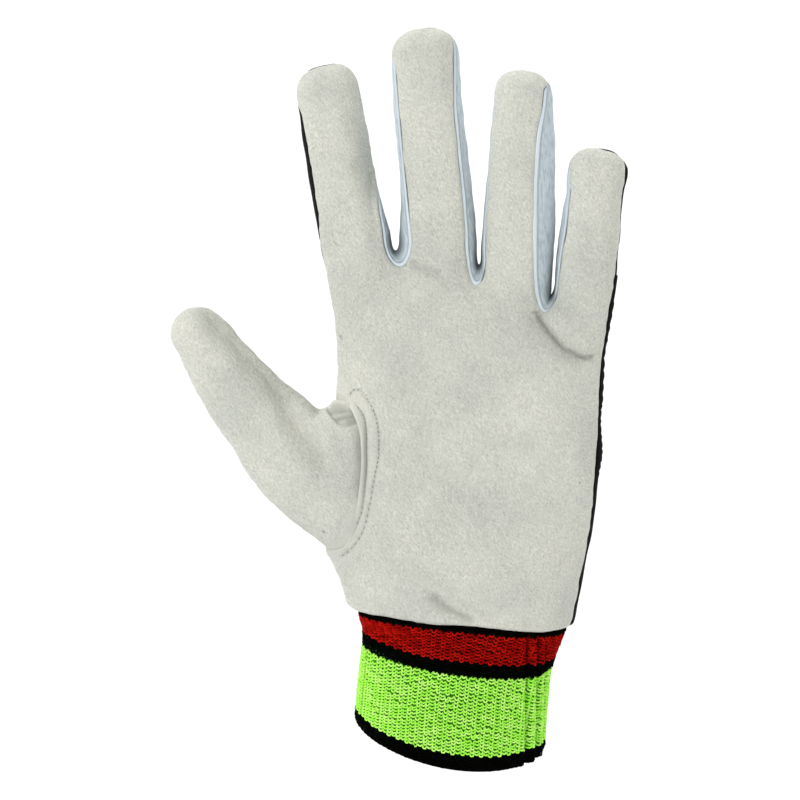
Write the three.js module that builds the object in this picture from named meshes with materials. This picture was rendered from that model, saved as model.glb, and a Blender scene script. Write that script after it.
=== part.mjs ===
// A left-hand wicketkeeping inner glove: a chamois palm, a black fabric back, three pale
// strips between the fingers, a chamois thumb sleeve and a striped knitted cuff.
// Lengths are millimetres. +Z runs up the fingers, the palm faces -Y and +X is the
// little-finger side. The origin is the centre of the cuff's mouth.
import * as THREE from "three";

// Wall thickness of each material, and the gap between two pieces along their seam.
const LEATHER_THICKNESS = 1.3;
const BACK_THICKNESS = 1.2;
const STRIP_THICKNESS = 1.0;
const KNIT_THICKNESS = 1.8;
const SEAM_GAP = 0.3;

// Fingers. base and tip are [x, z] ends of the centre line and depth is the half-depth.
// Each row gives the half-widths left and right of the centre line at a fraction of its
// length, and how far inside the outline the front seam lies on that side.
const FINGERS = [
  {
    base: [-31.8, 164.9],
    tip: [-40.7, 230.3],
    depth: 10.0,
    rows: [
      { at: 0.12, left: 11.4, right: 12.4, seamLeft: 2.2, seamRight: 2.0 },
      { at: 0.3, left: 11.9, right: 10.8, seamLeft: 2.2, seamRight: 1.2 },
      { at: 0.5, left: 12.1, right: 9.9, seamLeft: 2.2, seamRight: 0.8 },
      { at: 0.7, left: 12.3, right: 9.4, seamLeft: 2.2, seamRight: 0.7 },
      { at: 0.85, left: 11.9, right: 8.9, seamLeft: 2.2, seamRight: 0.6 },
    ],
  },
  {
    base: [-3.7, 163.5],
    tip: [-9.3, 242.3],
    depth: 10.3,
    rows: [
      { at: 0.12, left: 13.2, right: 12.7, seamLeft: 4.0, seamRight: 3.6 },
      { at: 0.3, left: 11.6, right: 12.4, seamLeft: 1.9, seamRight: 3.4 },
      { at: 0.5, left: 11.6, right: 11.6, seamLeft: 1.5, seamRight: 3.1 },
      { at: 0.7, left: 12.0, right: 10.9, seamLeft: 1.6, seamRight: 2.6 },
      { at: 0.85, left: 11.5, right: 11.0, seamLeft: 1.0, seamRight: 1.9 },
    ],
  },
  {
    base: [19.3, 155.7],
    tip: [22.1, 228.5],
    depth: 10.0,
    rows: [
      { at: 0.12, left: 9.9, right: 14.3, seamLeft: 1.4, seamRight: 6.4 },
      { at: 0.3, left: 9.6, right: 14.6, seamLeft: 1.0, seamRight: 7.3 },
      { at: 0.5, left: 8.9, right: 13.9, seamLeft: 0.8, seamRight: 7.1 },
      { at: 0.7, left: 8.4, right: 13.1, seamLeft: 0.6, seamRight: 6.0 },
      { at: 0.85, left: 7.9, right: 11.7, seamLeft: 0.5, seamRight: 3.2 },
    ],
  },
  {
    base: [43.7, 150.6],
    tip: [49.1, 202.3],
    depth: 8.8,
    rows: [
      { at: 0.12, left: 9.6, right: 10.9, seamLeft: 0.8, seamRight: 2.2 },
      { at: 0.3, left: 10.0, right: 10.6, seamLeft: 1.3, seamRight: 2.2 },
      { at: 0.5, left: 9.8, right: 10.1, seamLeft: 1.5, seamRight: 2.2 },
      { at: 0.7, left: 9.2, right: 9.7, seamLeft: 0.8, seamRight: 2.2 },
      { at: 0.85, left: 9.8, right: 10.6, seamLeft: 0.6, seamRight: 2.2 },
    ],
  },
];
const TIP_LENGTH = 11; // the rounded end of each finger
const TIP_POWER = 2.6; // a superellipse, blunter than a half circle

// Finger gaps, from index-middle to ring-little: [x, z] of the bottom of the gap in the
// outline, and of the bottom of the seam on the palm side.
const GAPS = [
  { outline: [-18.7, 168.1], seam: [-17.3, 163.8] },
  { outline: [9.2, 163.3], seam: [8.2, 157.7] },
  { outline: [33.2, 153.0], seam: [31.1, 148.3] },
];

// Hand outline below the fingers, as x at a height z on each side.
const LEFT_SIDE = [
  { z: 30, x: -30.8 },
  { z: 42, x: -31.2 },
  { z: 44.5, x: -32.6 },
  { z: 47, x: -35.2 },
  { z: 51, x: -36.7 },
  { z: 56, x: -38.0 },
  { z: 67.5, x: -42.7 },
  { z: 93, x: -40.6 },
  { z: 117.7, x: -39.0 },
  { z: 130, x: -38.3 },
  { z: 146, x: -39.2 },
  { z: 158, x: -41.2 },
];
const RIGHT_SIDE = [
  { z: 30, x: 37.5 },
  { z: 39.5, x: 41.0 },
  { z: 43, x: 42.2 },
  { z: 51, x: 43.6 },
  { z: 60, x: 45.2 },
  { z: 76, x: 48.0 },
  { z: 93, x: 49.6 },
  { z: 117.7, x: 50.8 },
  { z: 134, x: 51.7 },
  { z: 146, x: 53.5 },
];

// Side profile of the hand: the middle plane's y, the half-depths towards the palm and the
// back, and the width of the rounding at the edges.
const PROFILE = [
  { z: 38, mid: -3.8, palm: 21.0, back: 20.5, round: 33 },
  { z: 43, mid: -4.2, palm: 21.6, back: 21.0, round: 33 },
  { z: 49, mid: -4.6, palm: 22.6, back: 21.0, round: 32 },
  { z: 62, mid: -5.5, palm: 20.5, back: 18.5, round: 28 },
  { z: 90, mid: -6.5, palm: 16.8, back: 14.5, round: 24 },
  { z: 125, mid: -7.0, palm: 15.0, back: 13.0, round: 21 },
  { z: 150, mid: -7.2, palm: 14.5, back: 12.5, round: 20 },
];
const FINGER_LEAN = 7; // how far the fingers lean forward at LEAN_LENGTH above LEAN_START
const LEAN_START = 140;
const LEAN_LENGTH = 100;
const FINGER_ROUND = 9; // width of the rounding at a finger's edges
const MERGE_BELOW = 18; // below and above its base, a finger's section turns into the palm's
const MERGE_ABOVE = 14;
const STRIP_SWEEP = THREE.MathUtils.degToRad(100); // what a strip covers of a finger's side

// Dents and folds of the leather on the palm: centre [x, z], half-lengths along and across,
// turn of the long direction from +X towards +Z in degrees, and depth.
const FOLDS = [
  { centre: [39.0, 137.5], along: 11, across: 4.5, turn: -38, depth: 1.3 }, // under the little finger
  { centre: [6.0, 98.0], along: 30, across: 20, turn: 75, depth: 1.6 }, // hollow of the palm
  { centre: [0.0, 152.0], along: 16, across: 6, turn: -20, depth: 0.8 }, // under the middle finger
  { centre: [6.0, 52.0], along: 18, across: 4.5, turn: -12, depth: 1.2 }, // at the wrist
];

// Border between the leather and the cuff: its height z from the left edge to the right.
const BORDER = [
  { share: 0, z: 44.5 },
  { share: 0.25, z: 44.9 },
  { share: 0.5, z: 43.2 },
  { share: 0.75, z: 40.9 },
  { share: 1, z: 39.4 },
];

// Outer edges: the rim runs from RIM_INSET inside the outline on the palm side to the same
// place on the back. The leather ends on it at `reach`, -1 at its front, 0 on the outline
// and 1 at its back, by height z.
const RIM_INSET = 2.2;
const LEFT_REACH = [
  { z: 40, reach: 0.6 },
  { z: 150, reach: 0.6 },
  { z: 176, reach: -0.55 },
  { z: 192, reach: -0.75 },
  { z: 215, reach: -0.65 },
  { z: 228, reach: 0 },
];
const RIGHT_REACH = [
  { z: 40, reach: -0.55 },
  { z: 60, reach: -0.5 },
  { z: 130, reach: -0.65 },
  { z: 165, reach: -0.5 },
  { z: 178, reach: -0.1 },
  { z: 190, reach: -0.5 },
  { z: 198, reach: -0.75 },
];

// Thumb hole in the edge of the hand: a D between two heights on the left side, with its
// depth into the palm and into the back.
const HOLE_BOTTOM = 67.5;
const HOLE_TOP = 117.7;
const HOLE_IN_PALM = 12.2;
const HOLE_IN_BACK = 8.5;
const HOLE_POWER = 2.7;

// Thumb sections from the hole to the tip: [x, z] of the upper and lower edge, half-depth
// and y of the middle.
const THUMB = [
  { upper: [-39.0, 117.7], lower: [-42.7, 67.5], depth: 14.0, mid: -6.8 },
  { upper: [-41.8, 115.2], lower: [-50.6, 73.6], depth: 13.6, mid: -8.5 },
  { upper: [-44.8, 114.6], lower: [-59.8, 82.0], depth: 13.0, mid: -10.5 },
  { upper: [-48.9, 118.7], lower: [-66.6, 90.4], depth: 12.3, mid: -12.5 },
  { upper: [-56.2, 124.5], lower: [-74.1, 102.9], depth: 11.6, mid: -15.0 },
  { upper: [-62.8, 131.4], lower: [-81.6, 115.2], depth: 11.0, mid: -17.5 },
  { upper: [-69.8, 139.3], lower: [-87.6, 127.0], depth: 10.4, mid: -19.5 },
  { upper: [-75.9, 146.5], lower: [-91.1, 135.6], depth: 9.6, mid: -21.0 },
];
const THUMB_TIP = [-89.6, 149.0, -22.5]; // x, z and y of the tip
const THUMB_MERGE = 2.6; // sections over which the shape of the hole fades out

// Cuff sections from the leather down to the mouth: share of the length, outline left and
// right, half-depth, y of the middle, the slopes of the section's plane, and how far its two
// sides rise above that plane.
const CUFF_LENGTH = 42;
const CUFF = [
  { at: 0, left: -31.8, right: 41.0, depth: 21.2, mid: -4.0, fallRight: 0.1, fallFront: 0, lift: 0 },
  { at: 0.14, left: -30.3, right: 37.8, depth: 21.2, mid: -3.6, fallRight: 0.11, fallFront: 0.03, lift: 0 },
  { at: 0.32, left: -30.5, right: 35.2, depth: 21.8, mid: -2.8, fallRight: 0.13, fallFront: 0.07, lift: 0.2 },
  { at: 0.6, left: -31.7, right: 33.9, depth: 23.4, mid: -1.6, fallRight: 0.145, fallFront: 0.14, lift: 0.6 },
  { at: 1, left: -33.2, right: 33.0, depth: 24.8, mid: 0, fallRight: 0.155, fallFront: 0.22, lift: 1.1 },
];
const CUFF_FADE = 6; // how fast the shape of the leather's border fades out below it

// Fineness of the meshes.
const ACROSS = 5; // columns of one finger's panel
const ACROSS_ANGLE = THREE.MathUtils.degToRad(75); // columns lie closer towards its edges
const LEVELS = [
  [0, 0.05, 0.12, 0.195], // border to thumb hole, as a share of the palm's height
  [0.61, 0.68, 0.76, 0.84, 0.92, 1], // thumb hole to the finger gaps
];
const HOLE_ROWS = 8;
const CROTCH_ROWS = 3; // rows in each half of a finger gap's round bottom
const SIDE_ROWS = 5;
const TIP_ROWS = [0.45, 0.75, 0.92, 0.985, 1];
const EDGE_TIP_ROWS = TIP_ROWS.slice(0, -1); // strips and rims end just below the tip
const STRIP_COLUMNS = 4;
const RIM_COLUMNS = 2; // on each side of the leather's edge
const THUMB_ROWS = [0, 0.5, 1.1, 1.8, 2.6, 3.5, 4.5, 5.5, 6.3, 7];
const THUMB_TIP_ROWS = [0.5, 0.8, 0.95, 1];
const CUFF_ROWS = [0, 0.08, 0.2, 0.4, 0.65, 1];
const OUTLINE_STEPS = 24; // in each stretch of the outline that distances are measured to
const OUTLINE_CROTCH = 8;
const EDGE_POWER = 4; // how sharply the nearest edge counts before the others
const MITRE_LIMIT = 0.4; // keeps a sharp corner of a wall's edge from drawing back too far
const TINY = 1e-6;

// Small helpers on [x, z] points.
const mix = (a, b, t) => a * (1 - t) + b * t;
const mixPoint = (p, q, t) => p.map((value, i) => mix(value, q[i], t));
const smooth = (t) => THREE.MathUtils.smoothstep(t, 0, 1);

// Reads one column of a table at any place between its rows: a cubic through the rows,
// level beyond the ends.
function read(table, key, column, at) {
  const last = table.length - 1;
  if (at <= table[0][key]) return table[0][column];
  if (at >= table[last][key]) return table[last][column];
  const i = table.findIndex((row, n) => n < last && at < table[n + 1][key]);
  const slope = (n) => {
    const a = table[Math.max(n - 1, 0)];
    const b = table[Math.min(n + 1, last)];
    return (b[column] - a[column]) / (b[key] - a[key]);
  };
  const span = table[i + 1][key] - table[i][key];
  const t = (at - table[i][key]) / span;
  const [p, q] = [table[i][column], table[i + 1][column]];
  const bend = mix(slope(i) * span - (q - p), q - p - slope(i + 1) * span, t);
  return mix(p, q, t) + t * (1 - t) * bend;
}

// Point beside a finger's centre line at a fraction of its length. side is -1 for left and
// 1 for right, and inset moves the point towards the centre line. The widths close over
// the tip as a superellipse, and the inset fades out there.
const between = (p, q) => Math.hypot(q[0] - p[0], q[1] - p[1]);
function besideFinger(finger, at, side, insetOf) {
  const length = between(finger.base, finger.tip);
  const up = finger.tip.map((value, i) => (value - finger.base[i]) / length);
  const intoTip = Math.max(0, 1 - ((1 - at) * length) / TIP_LENGTH);
  const closing = Math.pow(Math.max(0, 1 - Math.pow(intoTip, TIP_POWER)), 1 / TIP_POWER);
  const width = read(finger.rows, "at", side < 0 ? "left" : "right", at);
  const inset = insetOf(read(finger.rows, "at", side < 0 ? "seamLeft" : "seamRight", at));
  const off = side * (width - inset * (1 - intoTip * intoTip)) * closing;
  return [
    finger.base[0] + up[0] * at * length + up[1] * off,
    finger.base[1] + up[1] * at * length - up[0] * off,
  ];
}

// How far a seam lies inside the outline: none, the palm side's inset, or the inset on the
// back, which is what the strip's sweep leaves over from the palm side.
const INSETS = {
  outline: () => 0,
  palm: (inset) => inset,
  back: (inset) => {
    const used = Math.acos(Math.max(-1, 1 - inset / FINGER_ROUND));
    return FINGER_ROUND * (1 - Math.cos(STRIP_SWEEP - used));
  },
};

// Places along a finger's side from the first row to the tip.
function sidePlaces(finger, sideRows, tipRows) {
  const tipStart = 1 - TIP_LENGTH / between(finger.base, finger.tip);
  const first = finger.rows[0].at;
  const body = Array.from({ length: sideRows + 1 }, (_, i) => mix(first, tipStart, i / sideRows));
  return [...body, ...tipRows.map((t) => mix(tipStart, 1, t))];
}

// Half of the round bottom of a finger gap: a quarter of an ellipse from the bottom point
// to the first place on the finger's side.
function crotch(bottom, top, rows) {
  return Array.from({ length: rows + 1 }, (_, i) => {
    const angle = (Math.PI / 2) * (i / rows);
    return [
      mix(bottom[0], top[0], Math.sin(angle)),
      mix(top[1], bottom[1], Math.cos(angle)),
    ];
  });
}

// One side of a finger gap from its bottom up to the fingertip. line is outline, palm or back.
function gapSide(gap, finger, side, line, crotchRows, places) {
  const insetOf = INSETS[line];
  const { outline, seam } = GAPS[gap];
  const full = between(outline, seam);
  const bottom = mixPoint(outline, seam, insetOf(full) / full);
  const run = places.map((at) => besideFinger(FINGERS[finger], at, side, insetOf));
  return [...crotch(bottom, run[0], crotchRows), ...run.slice(1)];
}

// Outer edge of the hand and its finger, from the wrist to the tip, at an inset.
function outerPoint(side, z, inset) {
  const table = side < 0 ? LEFT_SIDE : RIGHT_SIDE;
  return [read(table, "z", "x", z) - side * inset, z];
}

// The five stretches of outline that the thickness is measured from: the left edge, the
// three finger gaps and the right edge.
const fineTip = Array.from({ length: OUTLINE_STEPS }, (_, i) => {
  return Math.sin(((i + 1) / OUTLINE_STEPS) * (Math.PI / 2));
});
function fineOuter(side) {
  const finger = FINGERS[side < 0 ? 0 : 3];
  const table = side < 0 ? LEFT_SIDE : RIGHT_SIDE;
  const top = table[table.length - 1].z;
  const hand = Array.from({ length: OUTLINE_STEPS + 1 }, (_, i) =>
    outerPoint(side, mix(table[0].z, top, i / OUTLINE_STEPS), 0),
  );
  const places = sidePlaces(finger, OUTLINE_STEPS, fineTip);
  return [...hand, ...places.map((at) => besideFinger(finger, at, side, INSETS.outline))];
}
function fineGap(gap) {
  const half = (finger, side) => {
    const places = sidePlaces(FINGERS[finger], OUTLINE_STEPS, fineTip);
    return gapSide(gap, finger, side, "outline", OUTLINE_CROTCH, places);
  };
  return [...half(gap, 1).reverse(), ...half(gap + 1, -1).slice(1)];
}
const OUTLINES = [fineOuter(-1), fineGap(0), fineGap(1), fineGap(2), fineOuter(1)];

function distanceTo(line, x, z) {
  let nearest = Infinity;
  for (let i = 0; i + 1 < line.length; i++) {
    const [ax, az] = line[i];
    const [dx, dz] = [line[i + 1][0] - ax, line[i + 1][1] - az];
    const along = ((x - ax) * dx + (z - az) * dz) / (dx * dx + dz * dz || 1);
    const t = THREE.MathUtils.clamp(along, 0, 1);
    nearest = Math.min(nearest, Math.hypot(x - ax - t * dx, z - az - t * dz));
  }
  return nearest;
}

// Distance from the edges, rounded off where two edges are equally near.
function insideBy(x, z) {
  const sum = OUTLINES.reduce((total, line) => {
    return total + Math.pow(Math.max(distanceTo(line, x, z), TINY), -EDGE_POWER);
  }, 0);
  return Math.pow(sum, -1 / EDGE_POWER);
}

// y of the glove's middle plane at a height.
function middleAt(z) {
  const lean = Math.max(0, (z - LEAN_START) / LEAN_LENGTH);
  return read(PROFILE, "z", "mid", z) - FINGER_LEAN * lean * lean;
}

// How deep the dents and folds press the palm in at a point.
function foldDepth(x, z) {
  return FOLDS.reduce((total, { centre, along, across, turn, depth }) => {
    const angle = THREE.MathUtils.degToRad(turn);
    const [dx, dz] = [x - centre[0], z - centre[1]];
    const a = (dx * Math.cos(angle) + dz * Math.sin(angle)) / along;
    const b = (dz * Math.cos(angle) - dx * Math.sin(angle)) / across;
    return total + depth * Math.exp(-a * a - b * b);
  }, 0);
}

// The skin over a point of the outline's plane: its y is the half-depth there, rising from
// the edges as a quarter circle. side is -1 for the palm and 1 for the back.
const BASES = FINGERS.map(({ base, depth }) => ({ x: base[0], z: base[1], depth }));
function skinPoint([x, z], side) {
  const above = z - read(BASES, "x", "z", x) + MERGE_BELOW;
  const finger = smooth(above / (MERGE_BELOW + MERGE_ABOVE));
  const hand = read(PROFILE, "z", side < 0 ? "palm" : "back", z);
  const depth = mix(hand, read(BASES, "x", "depth", x), finger);
  const round = mix(read(PROFILE, "z", "round", z), FINGER_ROUND, finger);
  const rise = 1 - Math.min(1, insideBy(x, z) / round);
  const fold = side < 0 ? foldDepth(x, z) : 0;
  return [x, middleAt(z) + side * (depth * Math.sqrt(1 - rise * rise) - fold), z];
}

// Left edge of the index finger's panel: the rim's inner line, with the D of the thumb hole.
// depth is how far the D reaches in.
function leftLine(inset, depth) {
  const run = (levels, from, to) =>
    levels.map((level) => {
      const share = (level - levels[0]) / (levels.at(-1) - levels[0]);
      return outerPoint(-1, mix(from, to, share), inset);
    });
  const low = run(LEVELS[0], BORDER[0].z, HOLE_BOTTOM);
  const high = run(LEVELS[1], HOLE_TOP, LEFT_SIDE.at(-2).z);
  const hole = [];
  const lastAngle = Math.acos(Math.pow(inset / depth, HOLE_POWER / 2));
  for (let i = 1; i < HOLE_ROWS; i++) {
    const angle = mix(-lastAngle, lastAngle, i / HOLE_ROWS);
    const rise = Math.sign(angle) * Math.pow(Math.abs(Math.sin(angle)), 2 / HOLE_POWER);
    const z = mix(HOLE_BOTTOM, HOLE_TOP, (rise + 1) / 2);
    hole.push([outerPoint(-1, z, 0)[0] + depth * Math.pow(Math.cos(angle), 2 / HOLE_POWER), z]);
  }
  return [...low, ...hole, ...high];
}
const HOLE_FIRST = LEVELS[0].length - 1; // rows of the left edge that bound the thumb hole
const HOLE_LAST = HOLE_FIRST + HOLE_ROWS;
const besideHole = Array.from({ length: HOLE_ROWS - 1 }, (_, i) => {
  return mix(LEVELS[0].at(-1), LEVELS[1][0], (i + 1) / HOLE_ROWS);
});
const levelOfRow = [...LEVELS[0], ...besideHole, ...LEVELS[1]];

// Right edge of the little finger's panel below the finger.
function rightLine(inset) {
  const end = RIGHT_SIDE.at(-2).z;
  return levelOfRow.map((level) => outerPoint(1, mix(BORDER.at(-1).z, end, level), inset));
}

// The outer edge beside a finger: between the hand's side and the finger's first row it
// runs straight, then up to the tip.
function outerFinger(side, from, insetOf, places) {
  const finger = FINGERS[side < 0 ? 0 : 3];
  const run = places.map((at) => besideFinger(finger, at, side, insetOf));
  const step = Array.from({ length: CROTCH_ROWS - 1 }, (_, i) => {
    return mixPoint(from, run[0], (i + 1) / CROTCH_ROWS);
  });
  return [...step, ...run];
}

// Both edges of each finger's panel, from the border to the tip, on the palm or the back.
function panelEdges(line) {
  const places = FINGERS.map((finger) => sidePlaces(finger, SIDE_ROWS, TIP_ROWS));
  const seamBelow = (bottom, share) => {
    const x = mix(LEFT_SIDE[1].x, RIGHT_SIDE[1].x, share);
    const start = [x, read(BORDER, "share", "z", share)];
    return levelOfRow.slice(0, -1).map((level) => mixPoint(start, bottom, level));
  };
  const left = leftLine(RIM_INSET, line === "palm" ? HOLE_IN_PALM : HOLE_IN_BACK);
  const right = rightLine(RIM_INSET);
  const edges = FINGERS.map(() => ({}));
  edges[0].left = [...left, ...outerFinger(-1, left.at(-1), INSETS.palm, places[0])];
  edges[3].right = [...right, ...outerFinger(1, right.at(-1), INSETS.palm, places[3])];
  GAPS.forEach((gap, i) => {
    const up = gapSide(i, i, 1, line, CROTCH_ROWS, places[i]);
    const down = gapSide(i, i + 1, -1, line, CROTCH_ROWS, places[i + 1]);
    const below = seamBelow(up[0], (i + 1) / FINGERS.length);
    edges[i].right = [...below, ...up];
    edges[i + 1].left = [...below, ...down];
  });
  return edges;
}

// One finger's panel as a grid of skin points: rows from the border to the tip, columns
// from its left edge to its right edge.
function panelGrid({ left, right }, side) {
  const shares = Array.from({ length: ACROSS + 1 }, (_, i) => {
    const angle = mix(-ACROSS_ANGLE, ACROSS_ANGLE, i / ACROSS);
    return (Math.sin(angle) / Math.sin(ACROSS_ANGLE) + 1) / 2;
  });
  return left.map((start, row) => {
    return shares.map((t) => skinPoint(mixPoint(start, right[row], t), side));
  });
}

// A band between the palm's edge line and the back's, over the outline: an arc from each
// line that meets the outline square. from and to give its place across at each row: -1 on
// the palm's line, 0 on the outline, 1 on the back's.
function edgeBand(lines, from, to, columns) {
  return lines.outline.map((edge, row) =>
    Array.from({ length: columns + 1 }, (_, i) => {
      const place = mix(from(row), to(row), i / columns);
      const inner = skinPoint(place < 0 ? lines.palm[row] : lines.back[row], place < 0 ? -1 : 1);
      const [x, z] = mixPoint(edge, [inner[0], inner[2]], place * place);
      return [x, middleAt(z) + (inner[1] - middleAt(inner[2])) * Math.abs(place), z];
    }),
  );
}

// The whole skin: grids of points by piece, each with the side that its faces look to.
const palmEdges = panelEdges("palm");
const backEdges = panelEdges("back");
const palmGrids = palmEdges.map((edges) => panelGrid(edges, -1));
const backGrids = backEdges.map((edges) => panelGrid(edges, 1));

const stripGrids = GAPS.map((_, i) => {
  const whole = (line) => {
    const half = (finger, side) => {
      const places = sidePlaces(FINGERS[finger], SIDE_ROWS, EDGE_TIP_ROWS);
      return gapSide(i, finger, side, line, CROTCH_ROWS, places);
    };
    return [...half(i, 1).reverse(), ...half(i + 1, -1).slice(1)];
  };
  const lines = { outline: whole("outline"), palm: whole("palm"), back: whole("back") };
  return edgeBand(lines, () => -1, () => 1, STRIP_COLUMNS);
});

// Rims at the outer edges, split into the part in leather and the part in back fabric.
function rim(side) {
  const places = sidePlaces(FINGERS[side < 0 ? 0 : 3], SIDE_ROWS, EDGE_TIP_ROWS);
  const start = side < 0 ? leftLine(0, 1) : rightLine(0);
  const outline = [...start, ...outerFinger(side, start.at(-1), INSETS.outline, places)];
  const inner = side < 0 ? palmEdges[0].left : palmEdges[3].right;
  const table = side < 0 ? LEFT_REACH : RIGHT_REACH;
  const reach = (row) => read(table, "z", "reach", outline[row][1]);
  const lines = { outline, palm: inner, back: side < 0 ? backEdges[0].left : backEdges[3].right };
  return {
    leather: edgeBand(lines, () => -1, reach, RIM_COLUMNS),
    fabric: edgeBand(lines, reach, () => 1, RIM_COLUMNS),
  };
}
const leftRim = rim(-1);
const rightRim = rim(1);
const rimParts = (grid) => [grid.slice(0, HOLE_FIRST + 1), grid.slice(HOLE_LAST)];

// Edge of the thumb hole, once round: palm side up, over the top, back side down, under.
const column = (grid, rows) => rows.map((row) => grid[row][0]);
const holeRows = Array.from({ length: HOLE_ROWS + 1 }, (_, i) => HOLE_FIRST + i);
const acrossRim = (row) => [...leftRim.leather[row], ...leftRim.fabric[row].slice(1)];
const hole = [
  ...column(palmGrids[0], holeRows),
  ...acrossRim(HOLE_LAST).slice(1, -1),
  ...column(backGrids[0], holeRows).reverse(),
  ...acrossRim(HOLE_FIRST).slice(1, -1).reverse(),
];

// Angle of each point of the hole's edge round the thumb: -90 degrees at its lower edge,
// 0 at the front, 90 at its upper edge, by the share of the way round.
function holeAngles() {
  const half = hole.length / 2;
  const lowest = hole.length - RIM_COLUMNS;
  return hole.map((_, i) => {
    const steps = (i - lowest + hole.length) % hole.length;
    return -Math.PI / 2 + (Math.PI * steps) / half;
  });
}
const thumbAngles = holeAngles();
const thumbSections = THUMB.map(({ upper, lower, depth, mid }, at) => {
  return { at, ux: upper[0], uz: upper[1], lx: lower[0], lz: lower[1], depth, mid };
});
const thumbAt = (name, at) => read(thumbSections, "at", name, at);

// A point on the thumb's section: an ellipse on its upper and lower edge. closing draws it
// together towards the tip.
function thumbPoint(at, angle, closing = 0) {
  const across = Math.cos(angle) * thumbAt("depth", at);
  const up = (1 + Math.sin(angle)) / 2;
  const centre = [
    (thumbAt("ux", at) + thumbAt("lx", at)) / 2,
    thumbAt("mid", at),
    (thumbAt("uz", at) + thumbAt("lz", at)) / 2,
  ];
  const edge = [
    mix(thumbAt("lx", at), thumbAt("ux", at), up),
    thumbAt("mid", at) - across,
    mix(thumbAt("lz", at), thumbAt("uz", at), up),
  ];
  const tip = [THUMB_TIP[0], THUMB_TIP[2], THUMB_TIP[1]];
  const size = Math.sqrt(1 - closing * closing);
  return edge.map((value, i) => mix(centre[i], tip[i], closing) + (value - centre[i]) * size);
}
const thumbGrid = [
  ...THUMB_ROWS.map((at) =>
    hole.map((start, i) => {
      const first = thumbPoint(0, thumbAngles[i]);
      const rest = 1 - smooth(at / THUMB_MERGE);
      return thumbPoint(at, thumbAngles[i]).map((value, k) => value + (start[k] - first[k]) * rest);
    }),
  ),
  ...THUMB_TIP_ROWS.map((t) => hole.map((_, i) => thumbPoint(THUMB.length - 1, thumbAngles[i], t))),
].map((ring) => [...ring, ring[0]]);

// Lower edge of the leather and the back fabric, once round, and the cuff below it. Each
// point keeps its place round the cuff's ellipses.
const firstRow = (grids) => grids.flatMap((grid, i) => (i ? grid[0].slice(1) : grid[0]));
const border = [
  ...firstRow(palmGrids),
  ...[...rightRim.leather[0], ...rightRim.fabric[0].slice(1)].slice(1, -1),
  ...firstRow(backGrids).reverse(),
  ...acrossRim(0).slice(1, -1).reverse(),
];
function cuffPoint(at, start) {
  const value = (name, place = at) => read(CUFF, "at", name, place);
  const centre = (place) => (value("left", place) + value("right", place)) / 2;
  const halfWidth = (place) => (value("right", place) - value("left", place)) / 2;
  const angle = Math.atan2(
    (start[1] - value("mid", 0)) / value("depth", 0),
    (start[0] - centre(0)) / halfWidth(0),
  );
  const x = centre(at) + Math.cos(angle) * halfWidth(at);
  const y = value("mid") + Math.sin(angle) * value("depth");
  const plane = (1 - at) * CUFF_LENGTH - value("fallRight") * x + value("fallFront") * y;
  return [x, y, plane + value("lift") * Math.cos(2 * angle)];
}
const cuffGrid = CUFF_ROWS.map((at) =>
  border.map((start) => {
    const rest = Math.pow(1 - at, CUFF_FADE);
    const first = cuffPoint(0, start);
    return cuffPoint(at, start).map((value, k) => value + (start[k] - first[k]) * rest);
  }),
).map((ring) => [...ring, ring[0]]);

// Shared vertices of the skin, merged by place, and each piece's faces.
const vertices = [];
const known = new Map();
function vertex(point) {
  const key = point.map((value) => value.toFixed(3)).join();
  if (!known.has(key)) {
    known.set(key, vertices.length);
    vertices.push(new THREE.Vector3(...point));
  }
  return known.get(key);
}
function facesOf(grids, turned) {
  const faces = [];
  const add = (a, b, c) => {
    if (a === b || b === c || c === a) return;
    faces.push(turned ? [a, c, b] : [a, b, c]);
  };
  for (const grid of grids) {
    const ids = grid.map((row) => row.map(vertex));
    for (let r = 0; r + 1 < ids.length; r++) {
      for (let c = 0; c + 1 < ids[r].length; c++) {
        add(ids[r][c], ids[r][c + 1], ids[r + 1][c + 1]);
        add(ids[r][c], ids[r + 1][c + 1], ids[r + 1][c]);
      }
    }
  }
  return faces;
}
const PIECES = {
  palm_panel: {
    faces: [
      ...facesOf(palmGrids, false),
      ...facesOf(rimParts(leftRim.leather), true),
      ...facesOf([rightRim.leather], false),
    ],
    thickness: LEATHER_THICKNESS,
    material: { color: 0xdfe0d6, roughness: 0.95, metalness: 0 },
  },
  back_panel: {
    faces: [
      ...facesOf(backGrids, true),
      ...facesOf(rimParts(leftRim.fabric), true),
      ...facesOf([rightRim.fabric], false),
    ],
    thickness: BACK_THICKNESS,
    material: { color: 0x101312, roughness: 0.9, metalness: 0 },
  },
  ...Object.fromEntries(
    ["index_middle", "middle_ring", "ring_little"].map((name, i) => [
      "fourchette_" + name,
      {
        faces: facesOf([stripGrids[i]], true),
        thickness: STRIP_THICKNESS,
        material: { color: 0xdfe9f0, roughness: 0.85, metalness: 0 },
      },
    ]),
  ),
  thumb: {
    faces: facesOf([thumbGrid], false),
    thickness: LEATHER_THICKNESS,
    material: { color: 0xdcddd3, roughness: 0.95, metalness: 0 },
  },
  knit_cuff: {
    faces: facesOf([cuffGrid], true),
    thickness: KNIT_THICKNESS,
    material: { color: 0x9be83a, roughness: 0.9, metalness: 0 },
  },
};

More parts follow.
